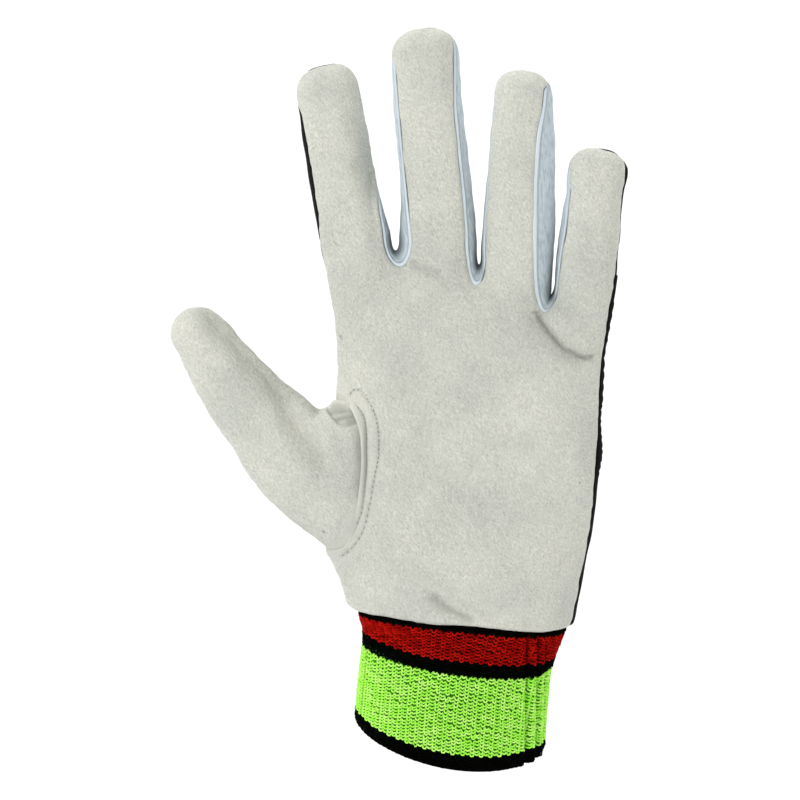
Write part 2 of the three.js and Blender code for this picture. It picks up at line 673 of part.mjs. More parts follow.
// Outward direction at each vertex of the whole skin, so that two pieces that meet at a
// seam have the same edge.
const normals = vertices.map(() => new THREE.Vector3());
for (const { faces } of Object.values(PIECES)) {
  for (const face of faces) {
    const [a, b, c] = face.map((id) => vertices[id]);
    face.forEach((id, k) => {
      const corner = vertices[id];
      const next = vertices[face[(k + 1) % 3]].clone().sub(corner);
      const previous = vertices[face[(k + 2) % 3]].clone().sub(corner);
      const flat = b.clone().sub(a).cross(c.clone().sub(a)).normalize();
      normals[id].addScaledVector(flat, next.angleTo(previous));
    });
  }
}
normals.forEach((normal) => normal.normalize());

// A closed wall: the piece's faces, the same faces pushed inwards by the thickness, and a
// band along each open edge. The open edges draw back by half the seam gap.
function wall({ faces, thickness }) {
  const edges = new Map();
  for (const face of faces) {
    face.forEach((id, k) => edges.set(id + ":" + face[(k + 1) % 3], [id, face[(k + 1) % 3]]));
  }
  const open = [...edges.values()].filter(([a, b]) => !edges.has(b + ":" + a));
  const inward = new Map();
  for (const [a, b] of open) {
    const along = vertices[b].clone().sub(vertices[a]).normalize();
    for (const id of [a, b]) {
      const direction = normals[id].clone().cross(along).normalize();
      inward.set(id, [...(inward.get(id) ?? []), direction]);
    }
  }
  const used = [...new Set(faces.flat())];
  const outer = new Map(used.map((id) => [id, vertices[id].clone()]));
  for (const [id, [first, second]] of inward) {
    const corner = Math.max(MITRE_LIMIT, 1 + first.dot(second));
    outer.get(id).addScaledVector(first.clone().add(second), SEAM_GAP / 2 / corner);
  }
  const places = new Map(used.map((id, i) => [id, i]));
  const onInside = (id) => outer.get(id).clone().addScaledVector(normals[id], -thickness);
  const positions = [
    ...used.flatMap((id) => outer.get(id).toArray()),
    ...used.flatMap((id) => onInside(id).toArray()),
  ];
  const front = (id) => places.get(id);
  const inner = (id) => places.get(id) + used.length;
  const index = [
    ...faces.flatMap((face) => face.map(front)),
    ...faces.flatMap(([a, b, c]) => [inner(a), inner(c), inner(b)]),
    ...open.flatMap(([a, b]) => [front(b), front(a), inner(a), front(b), inner(a), inner(b)]),
  ];
  const geometry = new THREE.BufferGeometry();
  geometry.setAttribute("position", new THREE.Float32BufferAttribute(positions, 3));
  geometry.setIndex(index);
  geometry.computeVertexNormals();
  return geometry;
}

const glove = new THREE.Group();
for (const [name, piece] of Object.entries(PIECES)) {
  const mesh = new THREE.Mesh(wall(piece), new THREE.MeshStandardMaterial(piece.material));
  mesh.name = name;
  glove.add(mesh);
}

export default glove;
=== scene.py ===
import bpy
import numpy as np
from mathutils import Matrix


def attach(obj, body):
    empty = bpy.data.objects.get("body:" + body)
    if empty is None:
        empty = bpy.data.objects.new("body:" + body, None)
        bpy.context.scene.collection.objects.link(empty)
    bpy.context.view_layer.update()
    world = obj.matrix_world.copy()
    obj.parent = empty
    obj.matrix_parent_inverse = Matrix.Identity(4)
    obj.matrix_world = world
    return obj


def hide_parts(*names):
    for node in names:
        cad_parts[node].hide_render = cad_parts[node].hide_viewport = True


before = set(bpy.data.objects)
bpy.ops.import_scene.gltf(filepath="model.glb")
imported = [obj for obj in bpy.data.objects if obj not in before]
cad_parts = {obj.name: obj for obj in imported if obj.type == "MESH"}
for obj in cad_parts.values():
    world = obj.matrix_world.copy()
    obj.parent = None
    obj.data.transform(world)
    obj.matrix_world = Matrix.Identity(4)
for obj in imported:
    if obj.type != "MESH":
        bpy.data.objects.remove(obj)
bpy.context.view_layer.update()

MM = 0.001


def table(names, *rows):
    """Named columns, each an array, from rows of numbers."""
    return dict(zip(names.split(), np.array(rows, float).T))


def finger(base, tip, depth, *rows):
    """A finger: the ends of its centre line as (x, z), its half-depth, and by share of its
    length the half-widths left and right and how far inside the outline the front seam lies."""
    base, tip = np.array(base), np.array(tip)
    length = np.hypot(*(tip - base))
    return {"base": base, "up": (tip - base) / length, "length": length, "depth": depth,
            "rows": table("at left right seam_left seam_right", *rows)}


FINGERS = [
    finger((-31.8, 164.9), (-40.7, 230.3), 10.0,
           (0.12, 11.4, 12.4, 2.2, 2.0),
           (0.3, 11.9, 10.8, 2.2, 0.9),
           (0.5, 12.1, 9.9, 2.2, 0),
           (0.7, 12.3, 9.4, 2.2, 0),
           (0.85, 11.9, 8.9, 2.2, 0)),
    finger((-3.7, 163.5), (-9.3, 242.3), 10.3,
           (0.12, 13.2, 12.7, 4.0, 3.6),
           (0.3, 11.6, 12.4, 1.9, 3.4),
           (0.5, 11.6, 11.6, 1.5, 3.1),
           (0.7, 12.0, 10.9, 1.6, 2.6),
           (0.85, 11.5, 11.0, 0.9, 1.9),
           (0.93, 11.5, 11.0, 0.1, 1.6)),
    finger((19.3, 155.7), (22.1, 228.5), 10.0,
           (0.12, 9.9, 14.3, 1.4, 6.4),
           (0.3, 9.6, 14.6, 0.6, 7.3),
           (0.5, 8.9, 13.9, 0.3, 7.1),
           (0.7, 8.4, 13.1, 0.1, 6.0),
           (0.85, 7.9, 11.7, 0, 3.2)),
    finger((43.7, 150.6), (49.1, 202.3), 8.8,
           (0.12, 9.6, 10.9, 0.8, 2.2),
           (0.3, 10.0, 10.6, 1.3, 2.2),
           (0.5, 9.8, 10.1, 1.5, 2.2),
           (0.7, 9.2, 9.7, 0.8, 2.2),
           (0.85, 9.8, 10.6, 0.6, 2.2)),
]

# The rounded tips: their length and the power of their superellipse, and the shares of a tip
# where the palm's seam has met the outline and where it starts to.
TIP_LENGTH, TIP_POWER = 11, 2.6
SEAM_FADE = (0.92, 0.78)

# Bottoms of the finger gaps as (x, z), in the outline and of the seam on the palm side.
GAPS = [
    {"outline": (-18.7, 168.1), "seam": (-17.3, 163.8)},
    {"outline": (9.2, 163.3), "seam": (8.2, 157.7)},
    {"outline": (33.2, 153.0), "seam": (31.1, 148.3)},
]

# The hand's two sides are -1, left, and 1, right: names, outer fingers, and the outline below
# the fingers.
SIDES = {-1: "left", 1: "right"}
OUTER = {-1: 0, 1: 3}
HAND = {
    -1: table("z x", (30, -30.8), (42, -31.2), (44.5, -32.6), (47, -35.2), (51, -36.7),
              (56, -38.0), (67.5, -42.7), (93, -40.6), (117.7, -39.0), (130, -38.3),
              (146, -39.2), (158, -41.2)),
    1: table("z x", (30, 37.5), (39.5, 41.0), (43, 42.2), (51, 43.6), (60, 45.2),
             (76, 48.0), (93, 49.6), (117.7, 50.8), (134, 51.7), (146, 53.5)),
}
HAND_START = 30

# Side profile of the hand: middle plane, half-depths, and width of the rounding at the edges.
# Above a height the fingers lean towards the palm. From below a finger's base to above it the
# hand's depth and rounding turn into the finger's, and a strip sweeps round its edge by an angle.
PROFILE = table("z mid palm back round",
                (38, -3.8, 21.0, 20.5, 33),
                (43, -4.2, 21.6, 21.0, 33),
                (49, -4.6, 22.6, 21.0, 32),
                (62, -5.5, 20.5, 18.5, 28),
                (90, -6.5, 16.8, 14.5, 24),
                (125, -7.0, 15.0, 13.0, 21),
                (150, -7.2, 14.5, 12.5, 20))
FINGER_LEAN, LEAN_START, LEAN_LENGTH = 7, 140, 100
FINGER_ROUND = 9
MERGE_BELOW, MERGE_ABOVE = 18, 14
STRIP_SWEEP = np.radians(100)

# Large dents and folds of the palm: centre, half-lengths along and across, turn, and how much
# they take from the palm's depth.
FOLDS = table("x z along across turn height",
              (39.0, 137.5, 11, 4.5, -38, 1.3),
              (6.0, 98.0, 30, 20, 75, 1.6),
              (0.0, 152.0, 16, 6, -20, 0.8),
              (6.0, 52.0, 18, 4.5, -12, 1.2))

# The leather's lower edge by share of the hand's width, which is taken between two heights of
# its sides, and how far the leather goes round the rims, where -1 is the palm's seam, 0 the
# outline and 1 the back's seam.
BORDER_ENDS = {-1: 42.0, 1: 39.5}
BORDER = table("share z", (0, 44.5), (0.25, 44.9), (0.5, 43.2), (0.75, 40.9), (1, 39.4))
RIM_INSET = 2.2
REACH = {
    -1: table("z reach", (40, 0.6), (150, 0.6), (176, -0.55), (192, -0.75),
              (212, -0.65), (220, 0.1), (226, 0.8), (231, 0.8)),
    1: table("z reach", (40, -0.55), (60, -0.5), (130, -0.65), (165, -0.5),
             (178, -0.1), (190, -0.5), (196, -0.5), (201, 0.8), (203, 0.8)),
}

# Between the fingers the leather wraps over each tip: by finger and side, the shares of the
# finger's length where its edge leaves the seam and where it reaches its place behind the outline.
WRAPS = {(0, 1): (0.25, 0.5), (1, -1): (0.84, 0.92), (1, 1): (0.93, 0.985), (2, -1): (0.84, 0.92),
         (2, 1): (0.92, 0.978), (3, -1): (0.84, 0.92)}
WRAP_REACH = 0.8

# The D of the thumb hole: its ends, its depth into the palm at the sewn line, the same with
# the turned lip of leather that covers the thumb's edge, and its depth into the back.
HOLE_BOTTOM, HOLE_TOP, HOLE_POWER = 67.5, 117.7, 2.7
HOLE_IN_PALM, HOLE_AT_LIP, HOLE_IN_BACK = 12.2, 10.3, 8.5

# Thumb sections: upper and lower edge, half-depth and middle, from the hole to the tip. The
# hole's own shape fades out over the first ones, and its front takes up a turn of so many
# degrees to each side of the thumb's front.
THUMB = table("at ux uz lx lz depth mid",
              (0, -39.0, 117.7, -42.7, 67.5, 14.0, -6.8),
              (1, -41.8, 115.2, -50.6, 73.6, 13.6, -8.5),
              (2, -44.8, 114.6, -59.8, 82.0, 13.0, -10.5),
              (3, -48.9, 118.7, -66.6, 90.4, 12.3, -12.5),
              (4, -56.2, 124.5, -74.1, 102.9, 11.6, -15.0),
              (5, -62.8, 131.4, -81.6, 115.2, 11.0, -17.5),
              (6, -69.8, 139.3, -87.6, 127.0, 10.4, -19.5),
              (7, -75.9, 146.5, -91.1, 135.6, 9.6, -21.0))
THUMB_LAST = 7
THUMB_TIP = np.array((-89.6, -22.5, 149.0))
THUMB_MERGE = 2.6
HOLE_TURN = 60

# Cuff sections: ellipses from the leather's edge down, their slopes, and half of how much
# higher they stand at the sides than in front.
CUFF_LENGTH, CUFF_FADE = 42, 6
CUFF = table("at left right depth mid fall_right fall_front lift",
             (0, -31.8, 41.0, 21.2, -4.0, 0.1, 0, 0),
             (0.14, -30.3, 37.8, 21.2, -3.6, 0.11, 0.03, 0),
             (0.32, -30.5, 35.2, 21.8, -2.8, 0.13, 0.07, 0.2),
             (0.6, -31.7, 33.9, 23.4, -1.6, 0.145, 0.14, 0.6),
             (1, -33.2, 33.0, 24.8, 0, 0.155, 0.22, 1.1))

# Thickness of the walls and of the turned lip, and the gap between two pieces at a seam.
LEATHER, FABRIC, STRIP, KNIT = 1.3, 1.2, 1.0, 1.8
LIP_THICKNESS = 0.7
SEAM_GAP = 0.16

# Rows and columns of the fine grids, the angle whose sine spaces a panel's columns, and the
# levels of the thumb hole's ends on the other lines.
LOW_ROWS, HOLE_ROWS, HIGH_ROWS = 28, 64, 36
CROTCH_ROWS, SIDE_ROWS, TIP_ROWS = 16, 70, 20
PANEL_COLUMNS, RIM_COLUMNS, STRIP_COLUMNS = 32, 8, 30
ACROSS_ANGLE = np.radians(72)
LOW_LEVEL, HIGH_LEVEL = 0.195, 0.61
THUMB_SIDE, THUMB_ROWS, THUMB_TIP_ROWS = 20, 130, 26
OUTLINE_STEPS, OUTLINE_CROTCH = 50, 12
BORDER_STEPS, BORDER_SIDE = 40, 24
CUFF_ROWS, COLUMNS_PER_WALE = 64, 4

# Rows, counted from the level of the gaps' bottoms, over which the rows' sag comes and goes.
SAG_COMES, SAG_GOES = (-24, -4), (CROTCH_ROWS + 16, 2)

SEED = 11

# Unevenness of each piece: height, wavelength and seed.
UNEVEN = {
    "palm": ((0.13, 9, SEED), (0.05, 3.2, SEED + 1)),
    "thumb": ((0.13, 9, SEED + 2), (0.05, 3.0, SEED + 3)),
    "back": ((0.12, 12, SEED + 5),),
    "strip": ((0.08, 6, SEED + 9),),
}

# Creases pressed into the palm, as lines of (x, z) with a depth, a half-width and how much
# painted shade darkens them.
CREASES = [
    {"line": [(28.9, 148.4), (30.5, 145.2), (32.8, 141.9), (37.2, 137.0), (44.1, 133.2),
              (47.4, 132.8)], "depth": 1.9, "width": 1.2, "shade": 0.66},
    {"line": [(-13.9, 165.2), (-9.6, 163.5), (-4.0, 161.8)], "depth": 1.5, "width": 1.6, "shade": 0.2},
    {"line": [(26.6, 146.4), (28.4, 143.2), (30.8, 139.9), (35.2, 135.2), (41.0, 131.8)],
     "depth": 0.4, "width": 3.0, "shade": 0.15},
    {"line": [(-6.0, 53.5), (-2.0, 50.3), (1.5, 48.1), (6.0, 45.6)], "depth": 1.4, "width": 2.2,
     "shade": 0.42},
    {"line": [(-33.5, 50.4), (-30.1, 48.3), (-26.7, 50.4), (-22.3, 48.3)], "depth": 0.6, "width": 1.2,
     "shade": 0.05},
]

# Soft swellings of the palm by how far they stand out, dents where that is negative, and the
# index finger's side by how far it falls away.
MOUNDS = table("x z along across turn height",
               (39.2, 143.8, 8, 4.0, -42, 2.1),
               (4.0, 49.3, 6.5, 1.4, -29, 0.9),
               (35.0, 129.5, 10, 4.5, -38, 0.5),
               (-13.6, 152.8, 6, 4.0, -50, -0.5),
               (29.4, 123.7, 11, 7.0, 20, -0.35),
               (-24.0, 58.0, 12, 8.0, 70, 0.5),
               (10.0, 44.5, 22, 2.6, -5, 0.5))
INDEX_DENT = table("x z along across turn height", (-25.5, 197.0, 26, 6.5, 102, 2.1))

# The leather's lower edge rises and falls a little.
BORDER_WAVE = table("x height", (-34, 0), (-27.7, 0.6), (-19.7, 0.35), (-11.7, -0.7), (-5.8, -0.5),
                    (8.2, 0.35), (20, 0), (30.6, -0.5), (40, 0))

# The overcast seam at the right of the back: how far in and how high it goes, the pitch of its
# scallops above and below a height, and the height at which it bulges.
OVERCAST_REACH, OVERCAST_TOP = 9, 160
SCALLOP_HIGH, SCALLOP_LOW, SCALLOP_CHANGE = 4.0, 2.6, 116
BULGE_AT = 99

# Rolls and grooves as bells: of the back beside its edge, of the strips across their face, and
# down the front of the cuff at its right, by x.
BACK_EDGE = table("at width height", (0, 0.5, -0.55), (1.5, 0.7, 0.2))
STRIP_BEAD = table("at width height", (0.5, 0.42, 0.34), (1.4, 0.4, -0.22), (2.1, 0.4, 0.12))
CUFF_RIBS = table("at width height", (24.0, 1.0, 0.4), (28.0, 0.9, 0.5), (31.2, 0.7, 0.45),
                  (26.1, 0.6, -1.7), (29.8, 0.5, -1.2), (32.4, 0.35, -0.8))

# Sewing round the thumb: the row on the turned edge and the row beside it, each with the
# spacing of its stitches at the top and at the bottom, the heights between which it changes,
# and the threads' size and how far they stand out.
INNER_ROW = [(-31.9, 117.2), (-29.6, 114.2), (-28.7, 110.0), (-28.5, 104.0), (-28.6, 96.5),
             (-29.3, 86.6), (-30.7, 79.4), (-34.4, 73.0), (-40.1, 69.2)]
OUTER_ROW = [(-34.2, 119.9), (-33.0, 122.0), (-31.2, 122.4), (-29.4, 121.2), (-27.9, 118.9),
             (-26.2, 115.9), (-24.6, 109.6), (-24.4, 101.2), (-25.9, 92.4), (-27.5, 83.5),
             (-29.3, 76.0), (-32.7, 69.9), (-37.1, 65.5)]
SPACINGS = ((INNER_ROW, (1.35, 1.9)), (OUTER_ROW, (1.45, 2.1)))
SPACING_CHANGE = (104, 79)
THREAD_LENGTH, THREAD_RADIUS, THREAD_RISE, THREAD_SIDES = 1.1, 0.22, 0.1, 8
THREAD_PROFILE = table("along wide", (-0.5, 0.02), (-0.46, 0.6), (-0.25, 1), (0.25, 1),
                       (0.46, 0.6), (0.5, 0.02))

# The lip stands proud of the leather between its ends, the band between the rows is padded,
# the rows are sewn in, the inner one deeper at the lip, and the thumb is tucked under the lip.
# INNER_DEPTH and THUMB_TUCK are amounts away from the lip and at it. The other pairs are
# distances from a piece's edge at the hole, or heights, between which each comes or goes. The
# lip and the band lie within a distance of the hole. The threads are laid on the palm's points
# left of an x and between two heights.
HOLE_NEAR, HOLE_BELOW, HOLE_ABOVE = 12, 4, 8
LIP_COMES, LIP_GOES, LIP_DEEP = (70, 94), (119, 113), (88, 100)
LIP_HEIGHT, LIP_EDGE, LIP_THIN = 1.15, (1.7, 0.9), (3.2, 1.7)
BAND_HEIGHT, BAND_COMES, BAND_GOES = 0.35, (1.6, 2.4), (6.6, 5.0)
INNER_DEPTH, INNER_WIDTH = (0.3, 0.75), 0.42
OUTER_DEPTH, OUTER_WIDTH = 0.4, 0.45
THUMB_TUCK, THUMB_TUCK_GOES = (-0.2, 1.25), (6.1, 1.6)
SEWN_X, SEWN_BOTTOM, SEWN_TOP = -18, 58, 128

# The web between thumb and palm: the edge of the thumb's own leather in front of it, how deep
# it is sunk and from which x on, and the two rolls of the fold that closes it.
WEB_EDGE = [(-45.5, 117.6), (-43.3, 115.9), (-41.3, 114.2), (-39.3, 112.3), (-37.7, 110.9),
            (-35.7, 110.2), (-33.6, 110.3), (-31.0, 111.4)]
WEB_DEPTH, WEB_START = 2.0, -46.5
LOWER_FOLD = {"line": [(-42.5, 112.8), (-41.0, 113.7), (-38.0, 114.8), (-34.0, 115.6)],
              "height": 1.0, "width": 0.75}
UPPER_FOLD = {"line": [(-44.0, 115.4), (-41.5, 116.4), (-38.7, 117.0), (-32.6, 117.2)],
              "height": 1.2, "width": 0.8}

# The thumb's long dent, its upper side that falls away, and the ridge beside the dent's end.
THUMB_DENT = [(-86.0, 151.0), (-77.0, 144.5), (-69.5, 136.8), (-61.6, 128.5), (-54.6, 119.5),
              (-48.3, 109.8), (-43.0, 101.0)]
THUMB_RIDGE = [(-49.0, 118.5), (-46.5, 114.5), (-43.8, 110.2), (-41.0, 105.5), (-38.5, 99.5)]
DENT_DEPTH, DENT_WIDTH = 3.4, 6.0
RIDGE_HEIGHT, RIDGE_WIDTH = 2.1, 2.8
FALL_AWAY = 3.6

# Small dark marks on the leather, as x, z and radius.
MARKS = [(-37.2, 139.7, 0.5), (-36.9, 138.9, 0.35), (-42.8, 74.4, 0.5), (-43.3, 74.9, 0.3),
         (-39.1, 171.7, 0.3), (-38.7, 171.2, 0.3), (-38.2, 170.6, 0.25), (26.4, 70.0, 0.3),
         (43.0, 90.8, 0.3)]

# Small bulges of the strips' rolled edge, as (x, z).
LOBES = [(9.8, 160.6), (33.6, 154.2)]
LOBE_HEIGHT, LOBE_WIDTH = 0.55, 1.3

# The knit of the cuff: courses of yarn from the leather to the hem, by colour, and the shape
# of a loop: its half height and depth, how far a foot lies above or below its place, by turns,
# how the loop slants and widens, how much chance moves it, and how flat the hem's loops are.
WALES = 100
COURSES = [("black", 2), ("red", 9), ("black", 4), ("lime", 23), ("black", 5)]
ALL_COURSES = sum(count for _, count in COURSES)
YARN_RADIUS = 0.35
LOOP_HEIGHT, LOOP_DEPTH, LOOP_OFFSET = 0.30, 0.10, 0.25
LOOP_SLANT, LOOP_WIDEN = 0.05, 0.09
SLACK_ROUND, SLACK_UP, SLACK_OUT = 0.06, 0.13, 0.09
HEM_FLATTEN = {ALL_COURSES - 2: 0.6, ALL_COURSES - 1: 0.12}
YARN_SIDES = 4
SAMPLES_PER_WALE = 8

# The knit draws in under the leather, over a length, and at its hem; the backing lies inside it.
TUCK, TUCK_LENGTH, HEM_START = 0.75, 3.5, 0.97
YARN_HEM, BACKING_HEM = 0.25, 0.15
YARN_SINK, BACKING_SINK = 0.15, 0.95
BACKING_LENGTH = 48

# How much higher than equal shares the stripes run at the left, elsewhere and at the right, as
# shares of the cuff's length.
LIFT_LEFT, LIFT_REST, LIFT_RIGHT = 0.08, 0.022, 0.03


def mix(a, b, t):
    """a where t is 0, b where it is 1, and straight between."""
    return a * (1 - t) + b * t


def smooth(t):
    """Rises from 0 to 1 between 0 and 1, level at both ends."""
    t = np.clip(t, 0, 1)
    return t * t * (3 - 2 * t)


def ramp(value, start, stop):
    """Rises smoothly from 0 at start to 1 at stop, which may be the lower of the two."""
    return smooth((value - start) / (stop - start))


def hump(distance, centre, width):
    """A bell of height 1 at a distance, falling off over the width."""
    return np.exp(-(((distance - centre) / width) ** 2))


def bells(rows, distance):
    """Sum of bells over the rows of a table."""
    return sum(row[2] * hump(distance, row[0], row[1]) for row in zip(*rows.values()))


def unit(vectors):
    """Vectors divided by their length."""
    return vectors / np.maximum(np.linalg.norm(vectors, axis=-1, keepdims=True), 1e-12)


def read(rows, key, column, at):
    """Cubic through a table's rows, level beyond its ends: the straight line between two rows
    plus t(1-t) times how far each row's slope differs from the line's."""
    x, y = rows[key], rows[column]
    before = np.maximum(np.arange(len(x)) - 1, 0)
    after = np.minimum(np.arange(len(x)) + 1, len(x) - 1)
    slope = (y[after] - y[before]) / (x[after] - x[before])
    at = np.clip(at, x[0], x[-1])
    i = np.clip(np.searchsorted(x, at, side="right") - 1, 0, len(x) - 2)
    span, rise = x[i + 1] - x[i], y[i + 1] - y[i]
    t = (at - x[i]) / span
    bend = mix(slope[i] * span - rise, rise - slope[i + 1] * span, t)
    return y[i] + rise * t + t * (1 - t) * bend


def curve(points, step, samples=400):
    """A cubic through points, read at equal steps of its length."""
    points = np.array(points, float)
    chord = np.concatenate([[0], np.cumsum(np.linalg.norm(np.diff(points, axis=0), axis=1))])
    rows = {"s": chord, **{k: points[:, k] for k in range(points.shape[1])}}
    fine = np.linspace(0, chord[-1], samples)
    line = np.stack([read(rows, "s", k, fine) for k in range(points.shape[1])], -1)
    return resample(line, max(2, int(round(chord[-1] / step))))


def resample(line, count):
    """Points at equal steps along a line of points."""
    gone = np.concatenate([[0], np.cumsum(np.linalg.norm(np.diff(line, axis=0), axis=1))])
    at = np.linspace(0, gone[-1], count + 1)
    return np.stack([np.interp(at, gone, line[:, k]) for k in range(line.shape[1])], -1)


def distance_to(points, starts, ends, chunk=1500):
    """Shortest distance from each point to a set of straight pieces: the foot of the
    perpendicular is held between the ends of each piece."""
    way = ends - starts
    square = np.maximum((way * way).sum(-1), 1e-12)
    nearest = np.empty(len(points))
    for low in range(0, len(points), chunk):
        some = points[low:low + chunk, None]
        along = np.clip(((some - starts) * way).sum(-1) / square, 0, 1)
        gap = some - starts - along[..., None] * way
        nearest[low:low + chunk] = np.sqrt((gap * gap).sum(-1).min(1))
    return nearest


def distance_to_line(points, line):
    """Shortest distance from each point to a line of points."""
    line = np.asarray(line, float)
    return distance_to(points, line[:-1], line[1:])


def above_line(flat, line):
    """Distance from a line that runs from left to right, negative below it."""
    near = distance_to_line(flat, line)
    return np.where(flat[:, 1] > np.interp(flat[:, 0], line[:, 0], line[:, 1]), near, -near)


def lumps(points, wavelength, seed, waves=26):
    """Soft random unevenness near 1 in size: a sum of plane waves in random directions."""
    random = np.random.default_rng(seed)
    ways = unit(random.normal(size=(waves, 3))) * 2 * np.pi
    ways /= wavelength * random.uniform(0.7, 1.5, (waves, 1))
    phases = random.uniform(0, 2 * np.pi, waves)
    return np.sin(points @ ways.T + phases).sum(-1) * np.sqrt(2 / waves)


def uneven(points, piece):
    """A piece's unevenness: the sum of its rows' lumps, each times its height."""
    return sum(height * lumps(points, wavelength, seed) for height, wavelength, seed in UNEVEN[piece])


def ovals(rows, x, z):
    """Sum of bells over the rows of a table, each turned and stretched."""
    total = np.zeros_like(x)
    for cx, cz, along, across, turn, height in zip(*rows.values()):
        cos, sin = np.cos(np.radians(turn)), np.sin(np.radians(turn))
        a = ((x - cx) * cos + (z - cz) * sin) / along
        b = ((z - cz) * cos - (x - cx) * sin) / across
        total += height * np.exp(-a * a - b * b)
    return total


# Outline of the hand and fingers, in the plane of x and z.

def inset_of(line, seam):
    """How far inside the outline a line runs: the palm's seam, or the back's seam, which is
    where the strip's sweep round the finger's edge ends."""
    seam = np.maximum(seam, 0)
    if line == "outline":
        return 0 * seam
    if line == "palm":
        return seam
    used = np.arccos(1 - seam / FINGER_ROUND)
    return FINGER_ROUND * (1 - np.cos(STRIP_SWEEP - used))


def beside_finger(finger, at, side, line):
    """Points beside a finger's centre line at shares of its length. The widths close over the
    tip as a superellipse, and the seam's inset fades out there, the palm's before the tip."""
    base, up, length = finger["base"], finger["up"], finger["length"]
    into_tip = np.clip(1 - (1 - at) * length / TIP_LENGTH, 0, 1)
    closing = (1 - into_tip**TIP_POWER) ** (1 / TIP_POWER)
    width = read(finger["rows"], "at", SIDES[side], at)
    inset = inset_of(line, read(finger["rows"], "at", "seam_" + SIDES[side], at))
    inset = inset * (1 - into_tip**2)
    if line == "palm":
        inset = inset * ramp(into_tip, *SEAM_FADE)
    off = side * (width - inset) * closing
    x = base[0] + up[0] * at * length + up[1] * off
    z = base[1] + up[1] * at * length - up[0] * off
    return np.stack([x, z], -1)


def side_places(finger, side_rows, tip_rows):
    """Shares of a finger's length from its first row to its tip, closer together at the tip."""
    tip_start = 1 - TIP_LENGTH / finger["length"]
    body = np.linspace(finger["rows"]["at"][0], tip_start, side_rows + 1)
    rounded = np.sin(np.arange(1, tip_rows + 1) / tip_rows * np.pi / 2)
    return np.concatenate([body, mix(tip_start, 1, rounded)])


def gap_side(gap, number, side, line, crotch_rows, places):
    """One side of a finger gap: a quarter of an ellipse from its bottom, then the finger."""
    outline, seam = (np.array(GAPS[gap][k]) for k in ("outline", "seam"))
    full = np.hypot(*(seam - outline))
    bottom = mix(outline, seam, inset_of(line, full) / full)
    run = beside_finger(FINGERS[number], places, side, line)
    angle = np.linspace(0, np.pi / 2, crotch_rows + 1)
    quarter = np.stack([mix(bottom[0], run[0, 0], np.sin(angle)),
                        mix(run[0, 1], bottom[1], np.cos(angle))], -1)
    return np.concatenate([quarter, run[1:]])


def outer_x(side, z):
    """x of the hand's outline at one side."""
    return read(HAND[side], "z", "x", z)


def outer_points(side, z, inset):
    """Points at an inset from the hand's outline at one side."""
    return np.stack([outer_x(side, z) - side * inset, z], -1)


def outline_stretches():
    """The five stretches of outline that distances are measured to."""
    places = [side_places(finger, OUTLINE_STEPS, OUTLINE_STEPS) for finger in FINGERS]

    def outer(side):
        hand = outer_points(side, np.linspace(HAND_START, HAND[side]["z"][-1], OUTLINE_STEPS), 0)
        number = OUTER[side]
        return np.concatenate([hand, beside_finger(FINGERS[number], places[number], side, "outline")])

    def gap(i):
        up, down = (gap_side(i, number, side, "outline", OUTLINE_CROTCH, places[number])
                    for number, side in ((i, 1), (i + 1, -1)))
        return np.concatenate([up[::-1], down[1:]])

    return [outer(-1), gap(0), gap(1), gap(2), outer(1)]


STRETCHES = outline_stretches()


def inside_by(flat):
    """Distance from the edges, rounded off where two edges are equally near: the inverse
    fourth powers of the distances add up."""
    total = sum(np.maximum(distance_to_line(flat, line), 1e-6) ** -4 for line in STRETCHES)
    return total ** -0.25


def middle_at(z):
    """y of the glove's middle plane: the profile's, and the fingers' lean as a square."""
    lean = np.maximum(0, (z - LEAN_START) / LEAN_LENGTH)
    return read(PROFILE, "z", "mid", z) - FINGER_LEAN * lean**2


BASES = table("x z depth", *[(*finger["base"], finger["depth"]) for finger in FINGERS])


def skin(flat, side):
    """Points of the skin over points (x, z): the half-depth rises from the outline as a
    quarter circle. side is -1 for the palm and 1 for the back."""
    x, z = flat[..., 0], flat[..., 1]
    finger = ramp(z - read(BASES, "x", "z", x), -MERGE_BELOW, MERGE_ABOVE)
    hand = read(PROFILE, "z", "palm" if side < 0 else "back", z)
    depth = mix(hand, read(BASES, "x", "depth", x), finger)
    rounding = mix(read(PROFILE, "z", "round", z), FINGER_ROUND, finger)
    inside = inside_by(flat.reshape(-1, 2)).reshape(x.shape)
    rise = 1 - np.minimum(1, inside / rounding)
    fold = ovals(FOLDS, x, z) if side < 0 else 0
    y = middle_at(z) + side * (depth * np.sqrt(1 - rise**2) - fold)
    return np.stack([x, y, z], -1)


def hole_line(depth, inset, samples=600):
    """The D of the thumb hole from its lower end to its upper end, at equal steps: a
    superellipse on the hand's outline. Returns the points and their share of the angle."""
    last = np.arccos((inset / depth) ** (HOLE_POWER / 2))
    share = np.linspace(0, 1, samples)
    angle = mix(-last, last, share)
    rise = np.sign(angle) * np.abs(np.sin(angle)) ** (2 / HOLE_POWER)
    z = mix(HOLE_BOTTOM, HOLE_TOP, (rise / rise[-1] + 1) / 2)
    x = outer_x(-1, z) + depth * np.cos(angle) ** (2 / HOLE_POWER)
    line = resample(np.stack([x, z, share], -1) * (1, 1, 1e-6), HOLE_ROWS)
    return line[:, :2], line[:, 2] * 1e6


LEVELS = np.concatenate([
    np.linspace(0, LOW_LEVEL, LOW_ROWS + 1)[:-1],
    np.linspace(LOW_LEVEL, HIGH_LEVEL, HOLE_ROWS + 1)[:-1],
    np.linspace(HIGH_LEVEL, 1, HIGH_ROWS + 1),
])
HOLE_FIRST, HOLE_LAST = LOW_ROWS, LOW_ROWS + HOLE_ROWS


